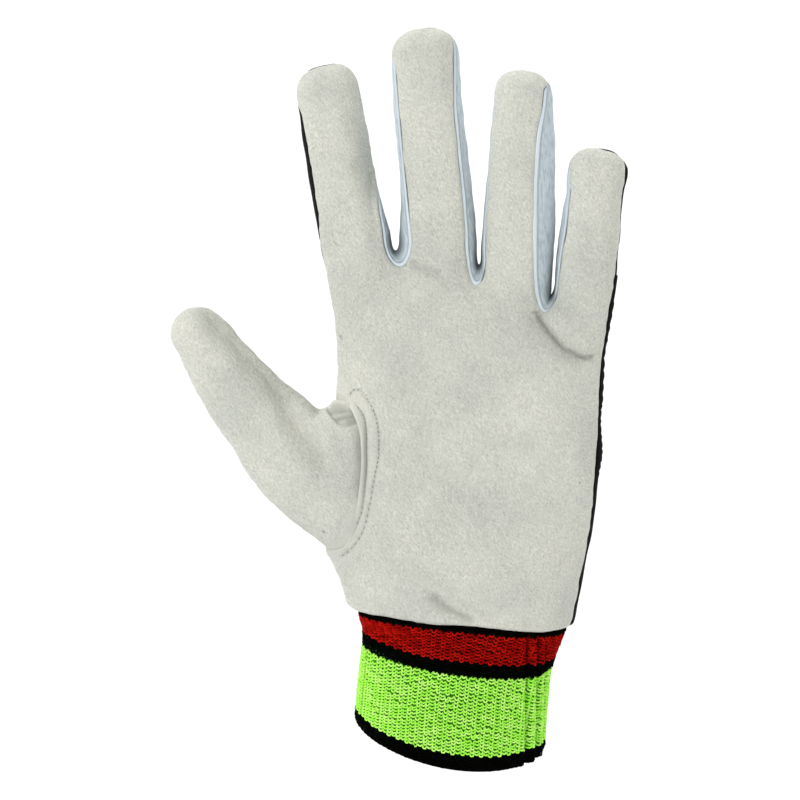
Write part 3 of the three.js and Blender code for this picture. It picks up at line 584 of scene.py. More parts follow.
def left_line(inset, depth=None):
    """The hand's left edge from the border up, with the D of the thumb hole of a depth."""
    low = np.linspace(BORDER["z"][0], HOLE_BOTTOM, LOW_ROWS + 1)
    middle = np.linspace(HOLE_BOTTOM, HOLE_TOP, HOLE_ROWS + 1)[1:-1]
    high = np.linspace(HOLE_TOP, HAND[-1]["z"][-2], HIGH_ROWS + 1)
    hole = outer_points(-1, middle, inset) if depth is None else hole_line(depth, inset)[0][1:-1]
    return np.concatenate([outer_points(-1, low, inset), hole, outer_points(-1, high, inset)])


def right_line(inset):
    """The hand's right edge from the border up, at the rows' levels."""
    return outer_points(1, mix(BORDER["z"][-1], HAND[1]["z"][-2], LEVELS), inset)


def outer_finger(side, start, line):
    """The outer edge beside a finger: straight from the hand's side to the first row."""
    run = beside_finger(FINGERS[OUTER[side]], PLACES[OUTER[side]], side, line)
    t = np.arange(1, CROTCH_ROWS)[:, None] / CROTCH_ROWS
    return np.concatenate([mix(start, run[0], t), run])


PLACES = [side_places(finger, SIDE_ROWS, TIP_ROWS) for finger in FINGERS]


def panel_edges(line, hole_depth):
    """Left and right edge of each finger's panel, from the border to the tip."""
    def below(bottom, share):
        x = mix(*(outer_x(side, z) for side, z in BORDER_ENDS.items()), share)
        start = np.array([x, read(BORDER, "share", "z", share)])
        return mix(start, bottom, LEVELS[:-1, None])

    edges = [{} for _ in FINGERS]
    for side, run in ((-1, left_line(RIM_INSET, hole_depth)), (1, right_line(RIM_INSET))):
        edges[OUTER[side]][SIDES[side]] = np.concatenate([run, outer_finger(side, run[-1], "palm")])
    for i in range(len(GAPS)):
        up = gap_side(i, i, 1, line, CROTCH_ROWS, PLACES[i])
        down = gap_side(i, i + 1, -1, line, CROTCH_ROWS, PLACES[i + 1])
        seam = below(up[0], (i + 1) / len(FINGERS))
        edges[i]["right"] = np.concatenate([seam, up])
        edges[i + 1]["left"] = np.concatenate([seam, down])
    return edges


def rim_lines(side, palm_edges, back_edges):
    """The hand's outer edge at one side: the outline and the seams of the palm and the back."""
    start = left_line(0) if side < 0 else right_line(0)
    outline = np.concatenate([start, outer_finger(side, start[-1], "outline")])
    palm, back = (edges[OUTER[side]][SIDES[side]][:len(outline)] for edges in (palm_edges, back_edges))
    return {"outline": outline, "palm": palm, "back": back}


def panel_grid(edges, side):
    """Skin points between a panel's edges, closer together towards them. Near the finger gaps
    a row sags as a parabola, by the height between its ends, so that it leaves the lower gap
    level and the rows there don't cross."""
    angle = np.linspace(-ACROSS_ANGLE, ACROSS_ANGLE, PANEL_COLUMNS + 1)
    share = (np.sin(angle) / np.sin(ACROSS_ANGLE) + 1)[None, :, None] / 2
    flat = mix(edges["left"][:, None], edges["right"][:, None], share)
    row = np.arange(len(flat)) - (len(LEVELS) - 1)
    near = ramp(row, *SAG_COMES) * ramp(row, *SAG_GOES)
    drop = np.abs(edges["left"][:, 1] - edges["right"][:, 1]) * near
    flat[..., 1] -= drop[:, None] * (share * (1 - share))[..., 0]
    return skin(flat, side)


def edge_band(lines, start, stop, columns):
    """A band over the outline from the palm's line to the back's, as two arcs that meet the
    outline square. start and stop give its place: -1, 0 and 1 on the three lines."""
    t = np.linspace(0, 1, columns + 1)[None, :]
    place = mix(np.broadcast_to(start, len(lines["outline"]))[:, None],
                np.broadcast_to(stop, len(lines["outline"]))[:, None], t)
    palm, back = skin(lines["palm"], -1), skin(lines["back"], 1)
    inner = np.where(place[..., None] < 0, palm[:, None], back[:, None])
    flat = mix(lines["outline"][:, None], inner[..., [0, 2]], place[..., None] ** 2)
    middle = middle_at(flat[..., 1])
    y = middle + (inner[..., 1] - middle_at(inner[..., 2])) * np.abs(place)
    return np.stack([flat[..., 0], y, flat[..., 1]], -1)


# Meshes as arrays: points, and faces of four corners, where a triangle repeats its last.

def grid_faces(ids):
    """Faces between the rows and columns of a grid of point numbers."""
    return np.stack([ids[:-1, :-1], ids[:-1, 1:], ids[1:, 1:], ids[1:, :-1]], -1).reshape(-1, 4)


def tubes(centres, ahead, out, radius, sides, first, closed):
    """Tubes round rows of centres: rings of points across the direction ahead, the first point
    at a share of a side's angle from the sideways direction, and the faces between them. A
    closed tube's last ring is joined to its first."""
    side = unit(np.cross(ahead, out))
    up = np.cross(side, ahead)
    turn = 2 * np.pi * (np.arange(sides) + first) / sides
    ways = np.cos(turn)[:, None] * side[..., None, :] + np.sin(turn)[:, None] * up[..., None, :]
    rings = centres[..., None, :] + np.asarray(radius)[..., None, None] * ways
    ids = np.arange(rings[..., 0].size).reshape(rings.shape[:3])
    run = np.concatenate([ids, ids[:, :1]], 1) if closed else ids
    after = np.roll(run, -1, 2)
    faces = np.stack([run[:, :-1], run[:, 1:], after[:, 1:], after[:, :-1]], -1).reshape(-1, 4)
    return rings, turn, ids, faces


def weld(grids):
    """Joins grids of points into one mesh. Each grid is (points, turned, values), and values
    are numbers kept with its points. Points in one place become one, and faces that close up
    are dropped."""
    columns = np.concatenate([g[0].reshape(-1, 3) for g in grids])
    values = {k: np.concatenate([np.ravel(g[2][k]) for g in grids]) for k in grids[0][2]}
    _, first, known = np.unique(np.round(columns, 3), axis=0, return_index=True, return_inverse=True)
    known = known.ravel()
    faces, start = [], 0
    for points, turned, _ in grids:
        quads = grid_faces(known[start:start + points[..., 0].size].reshape(points.shape[:2]))
        start += points[..., 0].size
        faces.append(quads[:, ::-1] if turned else quads)
    return columns[first], tidy_faces(np.concatenate(faces)), {k: v[first] for k, v in values.items()}


def tidy_faces(faces):
    """Turns each face that has two corners in one place into a triangle with its last corner
    repeated, and drops those with fewer than three corners."""
    for k in range(4):
        same = faces[:, k] == faces[:, (k + 1) % 4]
        turned = np.stack([faces[:, (k + 1 + n) % 4] for n in range(3)], -1)
        faces = np.where(same[:, None], np.concatenate([turned, turned[:, 2:]], -1), faces)
    distinct = (faces[:, 0] != faces[:, 1]) & (faces[:, 1] != faces[:, 2]) & (faces[:, 0] != faces[:, 2])
    return faces[distinct]


def directed_edges(faces):
    """Both ends of each face's edges, in the face's direction."""
    edges = np.concatenate([np.stack([faces[:, k], faces[:, (k + 1) % 4]], -1) for k in range(4)])
    return edges[edges[:, 0] != edges[:, 1]]


def open_edges(faces):
    """Edges that only one face has."""
    edges = directed_edges(faces)
    size = faces.max() + 1
    forward, backward = edges[:, 0] * size + edges[:, 1], edges[:, 1] * size + edges[:, 0]
    return edges[~np.isin(forward, backward)]


def calm_normals(points, faces, spreads=8, small=0.3):
    """Directions of the points, where a point with only slivers round it takes the direction
    of the larger faces near it: the sums spread from point to point, and count for a point
    whose own is small against the middle one."""
    def gather(places, vectors):
        return np.stack([np.bincount(places, vectors[:, k], len(points)) for k in range(3)], 1)

    a, b, c, d = (points[faces[:, k]] for k in range(4))
    flat = np.cross(c - a, d - b)
    own = sum(gather(faces[:, corner], flat) for corner in range(4))
    edges = directed_edges(faces)
    far = own
    for _ in range(spreads):
        far = far + (gather(edges[:, 0], far[edges[:, 1]]) + gather(edges[:, 1], far[edges[:, 0]]))
    size = np.linalg.norm(own, axis=1, keepdims=True)
    return unit(mix(unit(far), unit(own), smooth(size / (small * np.median(size)))))


def draw_back(points, faces, normals, by):
    """Moves the open edge into the sheet, away from the neighbour across the seam."""
    edges = open_edges(faces)
    along = unit(points[edges[:, 1]] - points[edges[:, 0]])
    inward = np.zeros_like(points)
    for end in (0, 1):
        np.add.at(inward, edges[:, end], np.cross(normals[edges[:, end]], along))
    return points + unit(inward) * by, unit(inward)


def wall(points, faces, normals, thickness, inward):
    """A closed wall: the sheet, the same sheet moved in by the thickness and turned, and a
    rounded band along its open edge, whose middle stands out by a quarter of the thickness."""
    count = len(points)
    edges = open_edges(faces)
    rim = np.unique(edges)
    place = np.zeros(count, int)
    place[rim] = np.arange(len(rim)) + 2 * count
    thickness = np.broadcast_to(thickness, count)[:, None]
    inner = points - normals * thickness
    half = mix(points, inner, 0.5) - inward * thickness * 0.25
    a, b = edges[:, 0], edges[:, 1]
    bands = [np.stack([b, a, place[a], place[b]], -1),
             np.stack([place[b], place[a], a + count, b + count], -1)]
    faces = np.concatenate([faces, faces[:, ::-1] + count, *bands])
    origin = np.concatenate([np.arange(count), np.arange(count), rim])
    return np.concatenate([points, inner, half[rim]]), faces, origin


def make_object(name, points, faces, material, slot, values=None, replaces=()):
    """Puts a mesh into the scene in metres, rides it on the body and hides the model's parts that it
    replaces.
    """
    mesh = bpy.data.meshes.new(name)
    faces = tidy_faces(faces)
    triangle = faces[:, 3] == faces[:, 2]
    mesh.from_pydata((points * MM).tolist(), [],
                     faces[~triangle].tolist() + faces[triangle][:, :3].tolist())
    mesh.polygons.foreach_set("use_smooth", np.ones(len(mesh.polygons), bool))
    for key, numbers in (values or {}).items():
        attribute = mesh.attributes.new(key, "FLOAT", "POINT")
        attribute.data.foreach_set("value", np.asarray(numbers, np.float32))
    mesh.materials.append(material)
    mesh.update()
    piece = bpy.data.objects.new(name, mesh)
    bpy.context.scene.collection.objects.link(piece)
    if slot:
        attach(piece, "root")
    if replaces:
        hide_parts(*replaces)
    return piece


def sheet_piece(name, grids, relief, thickness, material, slot):
    """A sewn piece: welds its grids, moves each point along its normal by the relief, draws
    the edge back from the seam and gives it a wall. relief takes the points, their distance
    from the edge and their values, and returns the move, the values that the material reads
    and a factor on the thickness."""
    points, faces, values = weld(grids)
    normals = calm_normals(points, faces)
    edges = open_edges(faces)
    edge = distance_to(points, points[edges[:, 0]], points[edges[:, 1]])
    move, shown, thin = relief(points, edge, values)
    points = points + normals * move[:, None]
    normals = calm_normals(points, faces)
    points, inward = draw_back(points, faces, normals, SEAM_GAP / 2)
    points, faces, origin = wall(points, faces, normals, thickness * thin, inward)
    shown = {k: np.asarray(v)[origin] for k, v in shown.items()}
    return make_object(name, points, faces, material, slot, shown, replaces=(name,))


# Shader maths as Python expressions.

class Value:
    """A socket of a shader. Operators on it add Math nodes."""

    def __init__(self, shader, socket):
        self.shader, self.socket = shader, socket

    def math(self, operation, *others):
        """Adds one Math node on this value and others."""
        return self.shader.node("ShaderNodeMath", {"operation": operation},
                                dict(enumerate((self, *others))))

    def __add__(self, other):
        return self.math("ADD", other)

    def __mul__(self, other):
        return self.math("MULTIPLY", other)

    def __sub__(self, other):
        return self.math("SUBTRACT", other)

    def __rsub__(self, other):
        return self.math("MULTIPLY_ADD", -1, other)

    def __truediv__(self, other):
        return self.math("DIVIDE", other)

    __radd__ = __add__
    __rmul__ = __mul__

    def wave(self, pitch=1.0):
        """A sine wave from 0 to 1."""
        return (self * (2 * np.pi / pitch)).math("SINE") * 0.5 + 0.5

    def step(self, low, high):
        """Rises smoothly from 0 to 1 between two values."""
        return self.shader.node("ShaderNodeMapRange", {"interpolation_type": "SMOOTHSTEP"},
                                {"Value": self, "From Min": low, "From Max": high})


class Shader:
    """A material with one Principled shader, whose plain numbers are given by name."""

    def __init__(self, name, **numbers):
        self.material = bpy.data.materials.new(name)
        self.material.use_nodes = True
        self.tree = self.material.node_tree
        self.surface = self.tree.nodes["Principled BSDF"]
        for key, number in numbers.items():
            self.surface.inputs[key.replace("_", " ").title().replace("Ior", "IOR")].default_value = number

    def node(self, kind, settings=None, inputs=None, output=0):
        """Adds a node: its settings first, then its sockets' values or links."""
        node = self.tree.nodes.new(kind)
        for key, setting in (settings or {}).items():
            setattr(node, key, setting)
        for key, value in (inputs or {}).items():
            self.set(node.inputs[key], value)
        return Value(self, node.outputs[output])

    def set(self, socket, value):
        """Links a value to a socket, or writes a number, colour or vector into it."""
        if isinstance(value, Value):
            self.tree.links.new(value.socket, socket)
        elif hasattr(socket.default_value, "__len__"):
            size = len(socket.default_value)
            socket.default_value = (*value, 1)[:size]
        else:
            socket.default_value = value

    def blend(self, a, b, factor):
        """Colour between a and b."""
        return self.node("ShaderNodeMix", {"data_type": "RGBA"}, {0: factor, 6: a, 7: b}, 2)

    def vector(self, operation, inputs, output=0):
        """Adds a Vector Math node."""
        return self.node("ShaderNodeVectorMath", {"operation": operation}, inputs, output)

    def shade(self, colour, factor):
        """Colour times a number."""
        return self.vector("SCALE", {0: colour, 3: factor})

    def place(self, turn=(0, 0, 0), size=(1, 1, 1)):
        """Object coordinates in millimetres, turned by degrees and divided by sizes."""
        where = self.node("ShaderNodeTexCoord", output=3)
        turned = self.mapping(where, "Rotation", np.radians(turn))
        return self.mapping(turned, "Scale", [1 / (MM * s) for s in size])

    def mapping(self, where, name, numbers):
        """Turns or scales coordinates."""
        return self.node("ShaderNodeMapping", {"vector_type": "POINT"},
                         {"Vector": where, name: tuple(numbers)})

    def noise(self, where, size=1.0, detail=2.0, roughness=0.5):
        """Noise from 0 to 1, about size millimetres from lump to lump."""
        return self.node("ShaderNodeTexNoise", {}, {
            "Vector": where, "Scale": 1 / size, "Detail": detail, "Roughness": roughness})

    def attribute(self, name):
        """Number that a mesh keeps with its points."""
        return self.node("ShaderNodeAttribute", {"attribute_name": name}, output=2)

    def join(self, x, y):
        """Coordinates from two numbers."""
        return self.node("ShaderNodeCombineXYZ", {}, {0: x, 1: y})

    def finish(self, colour, roughness=None, height=None, strength=0.5):
        """Links the colour, the roughness and the bump, whose height is in millimetres."""
        self.set(self.surface.inputs["Base Color"], colour)
        if roughness is not None:
            self.set(self.surface.inputs["Roughness"], roughness)
        if height is not None:
            bump = self.node("ShaderNodeBump", {}, {
                "Height": height, "Strength": strength, "Distance": MM})
            self.set(self.surface.inputs["Normal"], bump)
        return self.material


# Colours, as linear red, green and blue.
CREAM, GREY_GREEN, WORN_GREY = (0.722, 0.722, 0.642), (0.555, 0.577, 0.520), (0.40, 0.42, 0.385)
# Grey of painted shade in the leather's creases, sewn grooves and hollows.
PAINTED_SHADE_GREY = (0.20, 0.205, 0.18)
MARK_GREY = (0.12, 0.12, 0.11)
# The strips' darkest colour is painted shadow for the groove beside the bead and deep in the gaps.
PALE_BLUE, STRIP_SHADE, STRIP_PAINTED_SHADOW = (0.78, 0.87, 0.93), (0.36, 0.44, 0.49), (0.06, 0.085, 0.09)
# The lighter black is for pale loose fibres and a painted highlight on the stitches' tops.
BLACK_FABRIC, BLACK_FABRIC_FUZZ_AND_HIGHLIGHT = (0.0035, 0.0042, 0.0038), (0.012, 0.014, 0.013)
YARNS = {
    "lime": ((0.36, 0.93, 0.07), (0.57, 1.0, 0.20)),
    "red": ((0.31, 0.003, 0.0015), (0.56, 0.010, 0.004)),
    "black": ((0.0006, 0.0012, 0.0003), (0.0020, 0.0030, 0.0020)),
}
# Darker copies of the yarn colours, as painted shade inside the knit that shows through its gaps.
PAINTED_SHADE_BACKINGS = {"lime": (0.06, 0.22, 0.015), "red": (0.050, 0.0015, 0.001), "black": (0.0015,) * 3}
THREAD, THREAD_LIGHT = (0.26, 0.27, 0.26), (0.44, 0.45, 0.43)

# Widths of a rib or a stitch of each knit, and of a turn of the yarn's plies, in millimetres.
STRIP_RIB, STRIP_PURL = 0.78, 0.55
JERSEY_WALE, JERSEY_COURSE = 0.95, 0.8
PLY_PITCH = 1.1


def chamois(name):
    """Suede: cream mottled with grey green, short slanting fibres and pits, smooth and paler
    where the leather was stretched or turned, and grey as painted shade where the relief asks for it."""
    s = Shader(name, roughness=0.93, sheen_weight=0.22, sheen_roughness=0.45, specular_ior_level=0.18)
    where = s.place()
    slant = s.place(turn=(0, 38, 0), size=(0.42, 1.0, 1.25))
    cross = s.place(turn=(0, -30, 0), size=(0.5, 1.0, 1.5))
    mottle = s.noise(where, 25, 2, 0.5).step(0.34, 0.66)
    cloud = s.noise(where, 5.2, 3, 0.6).step(0.34, 0.68)
    fibres = s.noise(slant, 1.0, 2, 0.6)
    hairs = s.noise(cross, 1.0, 2, 0.6)
    grain = s.noise(where, 0.55, 3, 0.65)
    speckle = s.noise(s.place(turn=(0, 35, 0), size=(0.34, 0.9, 1.05)), 1.0, 2, 0.6)
    nap = 1 - s.attribute("worn")
    flecks = (fibres.step(0.53, 0.72) * 0.8 + hairs.step(0.55, 0.74) * 0.7) * nap
    light = (0.47 - fibres).step(0, 0.14) * nap
    colour = s.blend(CREAM, GREY_GREEN, mottle * 0.55 + cloud * 0.1)
    colour = s.blend(colour, WORN_GREY, flecks * 0.45 + (grain - 0.5) * 0.4)
    # Painted shade: the leather turns grey by the shade that the relief gives its points.
    colour = s.blend(colour, PAINTED_SHADE_GREY, s.attribute("shade"))
    level = s.vector("MULTIPLY", {0: where, 1: (1, 0, 1)})
    for x, z, radius in MARKS:
        apart = s.vector("DISTANCE", {0: level, 1: (x, 0, z)}, 1)
        mark = (1 - (apart + (grain - 0.5) * 0.6).step(radius * 0.4, radius * 1.3)) * 0.6
        colour = s.blend(colour, MARK_GREY, mark)
    colour = s.shade(colour, light * 0.12 + (speckle - 0.5) * (nap * 0.75 + 0.1) + 1.0)
    height = (fibres + hairs) * 0.3 * nap + (grain + speckle) * 0.13 + s.noise(where, 2.2, 2) * 0.12
    return s.finish(colour, (grain - 0.5) * 0.1 + 0.93, height, 0.85)


def strip_fabric():
    """Fine pale ribbed knit that runs along the strip, with painted shadow in the groove beside
    its bead and at the bottom of its gap.
    """
    s = Shader("strip_fabric", roughness=0.9, sheen_weight=0.15, sheen_roughness=0.5, specular_ior_level=0.2)
    across, along = s.attribute("across"), s.attribute("along")
    rib = (across + s.noise(s.place(), 3.0, 2) * 0.5).wave(STRIP_RIB)
    purl = (along + across * 0.3).wave(STRIP_PURL)
    mottle = s.noise(s.join(across * 0.9, along * 0.28), 1.0, 3, 0.6)
    dark = (0.62 - rib).step(0, 0.62) * 0.25 + mottle.step(0.4, 0.7) * 0.45 + purl * 0.08 + 0.1
    colour = s.blend(PALE_BLUE, STRIP_SHADE, dark * across.step(0.6, 1.8))
    # Painted shade in the groove beside the bead.
    groove = across.step(0.85, 1.2) * (1 - across.step(1.4, 1.9)) * s.attribute("inset").step(0.6, 1.6)
    place, up = s.attribute("place"), s.attribute("up")
    # Painted shadow deep in the gap, towards the back and near its bottom.
    deep = place.step(0.12, 0.5) * (1 - up.step(3, 34)) * 0.85
    bottom = place.step(0.05, 0.3) * (1 - up.step(2, 12)) * 0.6
    colour = s.blend(colour, STRIP_PAINTED_SHADOW, groove * 0.4)
    colour = s.blend(colour, STRIP_PAINTED_SHADOW, deep + bottom * (1 - deep))
    return s.finish(colour, None, rib * 0.16 + purl * 0.05 + mottle * 0.08, 0.8)


def back_fabric():
    """Black stretch jersey: columns of small V stitches, faintly paler on their tops as a
    painted highlight, and pale loose fibres.
    """
    s = Shader("back_fabric", roughness=0.9, sheen_weight=0.06, sheen_roughness=0.5, specular_ior_level=0.1)
    wobble = s.noise(s.place(), 4.0, 2) * 0.25
    leg = (s.attribute("across") / JERSEY_WALE + wobble).math("FRACT")
    leg = (leg - 0.5).math("ABSOLUTE") * 2
    course = (s.attribute("along") / JERSEY_COURSE + leg * 0.55 + wobble).wave()
    ridge = 1 - (leg - 0.5).math("ABSOLUTE") * 2
    stitch = ridge * (course * 0.7 + 0.3)
    fuzz = s.noise(s.place(), 0.5, 3, 0.7)
    # Paler on the stitches' tops as a painted highlight, and on loose fibres.
    colour = s.blend(BLACK_FABRIC, BLACK_FABRIC_FUZZ_AND_HIGHLIGHT, stitch * 0.5 + fuzz.step(0.45, 0.8) * 0.6)
    return s.finish(colour, None, stitch * 0.22 + fuzz * 0.08, 0.9)


def yarn(colour):
    """Spun yarn: plies that wind round it, loose fibres and stitches a little lighter or darker,
    and painted shade where the yarn lies deeper. The lime yarn emits a little light as painted light."""
    dark, light = YARNS[colour]
    # Painted light: the lime yarn emits a little of its own colour.
    painted_glow, specular = (0.12, 0.06) if colour == "lime" else (0.0, 0.02)
    s = Shader("yarn_" + colour, roughness=0.9, emission_strength=painted_glow, specular_ior_level=specular)
    ply = (s.attribute("along") + s.attribute("around") * (PLY_PITCH / np.pi)).wave(PLY_PITCH)
    fibre = s.noise(s.place(), 0.25, 3, 0.7)
    tint = s.blend(dark, light, ply * 0.35 + fibre * 0.35 + s.attribute("tone") * 0.4)
    if painted_glow:
        s.set(s.surface.inputs["Emission Color"], tint)
    # Painted shade: the yarn is darker where it lies deeper, at the loops' heads.
    return s.finish(s.shade(tint, s.attribute("height").step(-1.0, 0.6) * 0.22 + 0.86),
                    None, ply * 0.12 + fibre * 0.1, 0.8)


def cuff_backing(blur=0.1):
    """Inside of the knit, banded in a darker copy of each stripe's colour, as painted shade
    that shows through the knit's gaps, with ribs.
    """
    s = Shader("cuff_backing", roughness=0.95, specular_ior_level=0.1)
    ribs = s.attribute("around").wave()
    course = s.attribute("course") + (ribs - 0.5) * 0.6
    colour = PAINTED_SHADE_BACKINGS["black"]
    start = 0
    for name, count in COURSES:
        stop = start + count
        if name != "black":
            inside = course.step(start - blur, start + blur) * (1 - course.step(stop - blur, stop + blur))
            colour = s.blend(colour, PAINTED_SHADE_BACKINGS[name], inside)
        start = stop
    height = ribs * 0.25 + course.wave() * 0.12 + s.noise(s.place(), 0.5, 2) * 0.1
    return s.finish(colour, None, height, 0.8)


def thread():
    """Grey sewing thread, mottled by its fibres."""
    s = Shader("sewing_thread", roughness=0.7, specular_ior_level=0.3)
    fibre = s.noise(s.place(), 0.3, 2)
    return s.finish(s.blend(THREAD, THREAD_LIGHT, fibre.step(0.4, 0.7)), None, fibre * 0.1, 0.6)


def studio_white():
    """Matt pale paper of the floor and backdrop."""
    s = Shader("studio_white", roughness=0.9, specular_ior_level=0.1)
    return s.finish(s.blend((0.88, 0.88, 0.88), (0.9, 0.9, 0.9), s.noise(s.place(), 300, 1)))


# Pieces.

def with_lengths(grid):
    """Millimetres across each row and along each column of a grid, kept with its points."""
    across = np.cumsum(np.linalg.norm(np.diff(grid, axis=1, prepend=grid[:, :1]), axis=-1), 1)
    along = np.cumsum(np.linalg.norm(np.diff(grid, axis=0, prepend=grid[:1]), axis=-1), 0)
    return {"across": across, "along": along}


def rims(side, palm_edges, back_edges):
    """The rounded outer edge of the hand, as a leather part and a fabric part."""
    lines = rim_lines(side, palm_edges, back_edges)
    reach = read(REACH[side], "z", "reach", lines["outline"][:, 1])
    return edge_band(lines, -1, reach, RIM_COLUMNS), edge_band(lines, reach, 1, RIM_COLUMNS)


def around_hole(grid):
    """The rows of a rim below and above the thumb hole."""
    return [grid[:HOLE_FIRST + 1], grid[HOLE_LAST:]]


def lip_share(z):
    """1 along the middle of the D, where the leather's edge stands proud, 0 at its ends."""
    return ramp(z, *LIP_COMES) * ramp(z, *LIP_GOES)


HOLE_AT_EDGE = hole_line(HOLE_AT_LIP, RIM_INSET)[0]
HOLE_SEWN = hole_line(HOLE_IN_PALM, RIM_INSET)[0]
INNER_LINE, OUTER_LINE = curve(INNER_ROW, 0.5), curve(OUTER_ROW, 0.5)


def silhouette(flat, edge, fade=1.3):
    """1 where a piece's edge lies on the glove's outline, 0 where it lies inside by the fade."""
    return ramp(inside_by(flat) - edge, fade, 0)


def palm_relief(points, edge, values):
    """The palm's surface: unevenness, creases and mounds, edges rolled in at the seams, and
    the turned lip, its two sewn grooves and the padded band between them at the thumb. The creases
    and the grooves get painted shade."""
    x, z = points[:, 0], points[:, 2]
    flat = points[:, [0, 2]]
    front = points[:, 1] < middle_at(z) - 2
    move = uneven(points, "palm") + ovals(MOUNDS, x, z) * front
    move -= ovals(INDEX_DENT, x, z) * front * ramp(edge, 0, 3.5)
    shade = np.zeros_like(x)
    for crease in CREASES:
        near = distance_to_line(flat, curve(crease["line"], 0.8))
        move -= crease["depth"] * hump(near, 0, crease["width"]) * front * ramp(edge, 0, 2.5)
        # Painted shade along the crease.
        shade += crease["shade"] * hump(near, 0, 0.6 * crease["width"]) * front

    hole = distance_to_line(flat, HOLE_AT_EDGE)
    at_hole = front & (hole < HOLE_NEAR) & (z > HOLE_BOTTOM - HOLE_BELOW) & (z < HOLE_TOP + HOLE_ABOVE)
    lip = lip_share(z) * at_hole
    at_side = silhouette(flat, edge)
    roll = -mix(0.5, 0.1, at_side) * hump(edge, 0, 0.5) + 0.2 * hump(edge, 1.7, 0.8) * (1 - at_side)
    move += roll * (1 - lip) * np.where(hole < 4.5, 0.1, 1)
    points[:, 2] += np.interp(x, BORDER_WAVE["x"], BORDER_WAVE["height"]) * ramp(z, 53, 46) * front

    inner = hump(distance_to_line(flat, INNER_LINE), 0, INNER_WIDTH) * front
    outer = hump(distance_to_line(flat, OUTER_LINE), 0, OUTER_WIDTH) * front
    between = at_hole * ramp(hole, *BAND_GOES) * ramp(hole, *BAND_COMES)
    move += lip * (LIP_HEIGHT * ramp(hole, *LIP_EDGE) - 0.25 * hump(edge, 0, 0.35))
    move += BAND_HEIGHT * between
    move -= mix(*INNER_DEPTH, lip * ramp(z, *LIP_DEEP)) * inner + OUTER_DEPTH * outer
    worn = np.clip(0.75 * hump(edge, 0, 0.9) + 0.8 * at_hole * (hole < 1.8) + 0.45 * between, 0, 1)
    # Painted shade in the two sewn grooves, more at the lip.
    shade += inner * mix(0.2, 0.6, lip) + 0.25 * outer
    thin = mix(1, LIP_THICKNESS / LEATHER, ramp(hole, *LIP_THIN) * at_hole)
    return move, {"worn": worn, "shade": np.clip(shade, 0, 1)}, thin


def build_palm(edges, rim, material):
    """The palm: a panel up to each fingertip, and the leather's part of both rims and of the gaps."""
    grids = [(panel_grid(pair, -1), False, {}) for pair in edges]
    grids += [(part, True, {}) for part in around_hole(rim[-1][0])] + [(rim[1][0], False, {})]
    for gap in range(len(GAPS)):
        lines, _, reach = gap_lines(gap)
        grids.append((edge_band(lines, -1, reach, RIM_COLUMNS), True, {}))
    return sheet_piece("palm_panel", grids, palm_relief, LEATHER, material, "chamois_leather")


def back_relief(points, edge, values):
    """The back: soft unevenness, edges rolled in, and along the right side the overcast roll
    of the seam, gathered by its stitches into small scallops, with one bulge."""
    x, z = points[:, 0], points[:, 2]
    at_right = (x > outer_x(1, z) - OVERCAST_REACH) & (z < OVERCAST_TOP)
    pitch = np.where(z > SCALLOP_CHANGE, SCALLOP_HIGH, SCALLOP_LOW)
    scallop = (np.abs(np.sin(np.pi * z / pitch)) - 0.6) * ramp(z, 88, 96) * ramp(z, 158, 148)
    roll = 0.45 * hump(edge, 1.3, 0.9) + 0.5 * scallop * hump(edge, 1.0, 1.1)
    bulge = hump(z, BULGE_AT, 5) * hump(edge, 1.5, 1.6)
    return uneven(points, "back") + bells(BACK_EDGE, edge) + at_right * (roll + bulge), values, 1.0


def build_back(edges, rim, material):
    """The back: a panel behind each finger, with the knit counted on across them, and the rims'
    other part."""
    grids = []
    reach = 0
    for pair in edges:
        grid = panel_grid(pair, 1)
        across = with_lengths(grid)["across"] + reach
        reach = across[:, -1:]
        grids.append((grid, True, {"across": across, "along": grid[..., 2]}))
    left = [(part, True) for part in around_hole(rim[-1][1])]
    for part, turned in left + [(rim[1][1], False)]:
        grids.append((part, turned, {"across": with_lengths(part)["across"], "along": part[..., 2]}))
    return sheet_piece("back_panel", grids, back_relief, FABRIC, material, "back_fabric")


def strip_relief(points, edge, values):
    """A strip's face: a rolled bead along its edge on the palm side, a groove beside it, slight
    unevenness and the bead's small bulges."""
    front = values["across"]
    seen = ramp(values["inset"], 0, 1.2)
    move = bells(STRIP_BEAD, front) * seen - 0.4 * hump(front, 0, 1.1) * (1 - seen)
    move += uneven(points, "strip") * ramp(front, 0, 2) - 0.15 * hump(edge, 0, 0.2)
    for x, z in LOBES:
        near = np.hypot(points[:, 0] - x, points[:, 2] - z)
        move += LOBE_HEIGHT * hump(near, 0, LOBE_WIDTH) * hump(front, 0.8, 1.0)
    return move, values, 1.0


def gap_lines(gap):
    """The three lines once round a finger gap, tip to tip, the row at its bottom, and the place
    of the leather's edge on each row."""
    def around(make):
        halves = [make(number, side) for number, side in ((gap, 1), (gap + 1, -1))]
        return np.concatenate([halves[0][::-1], halves[1][1:]])

    def run(line):
        return around(lambda number, side: gap_side(gap, number, side, line, CROTCH_ROWS, PLACES[number]))

    def wrapped(number, side):
        share = ramp(PLACES[number], *WRAPS[number, side])
        return np.concatenate([np.full(CROTCH_ROWS, -1.0), mix(-1, WRAP_REACH, share)])

    lines = {line: run(line) for line in ("outline", "palm", "back")}
    return lines, CROTCH_ROWS + len(PLACES[gap]) - 1, around(wrapped)


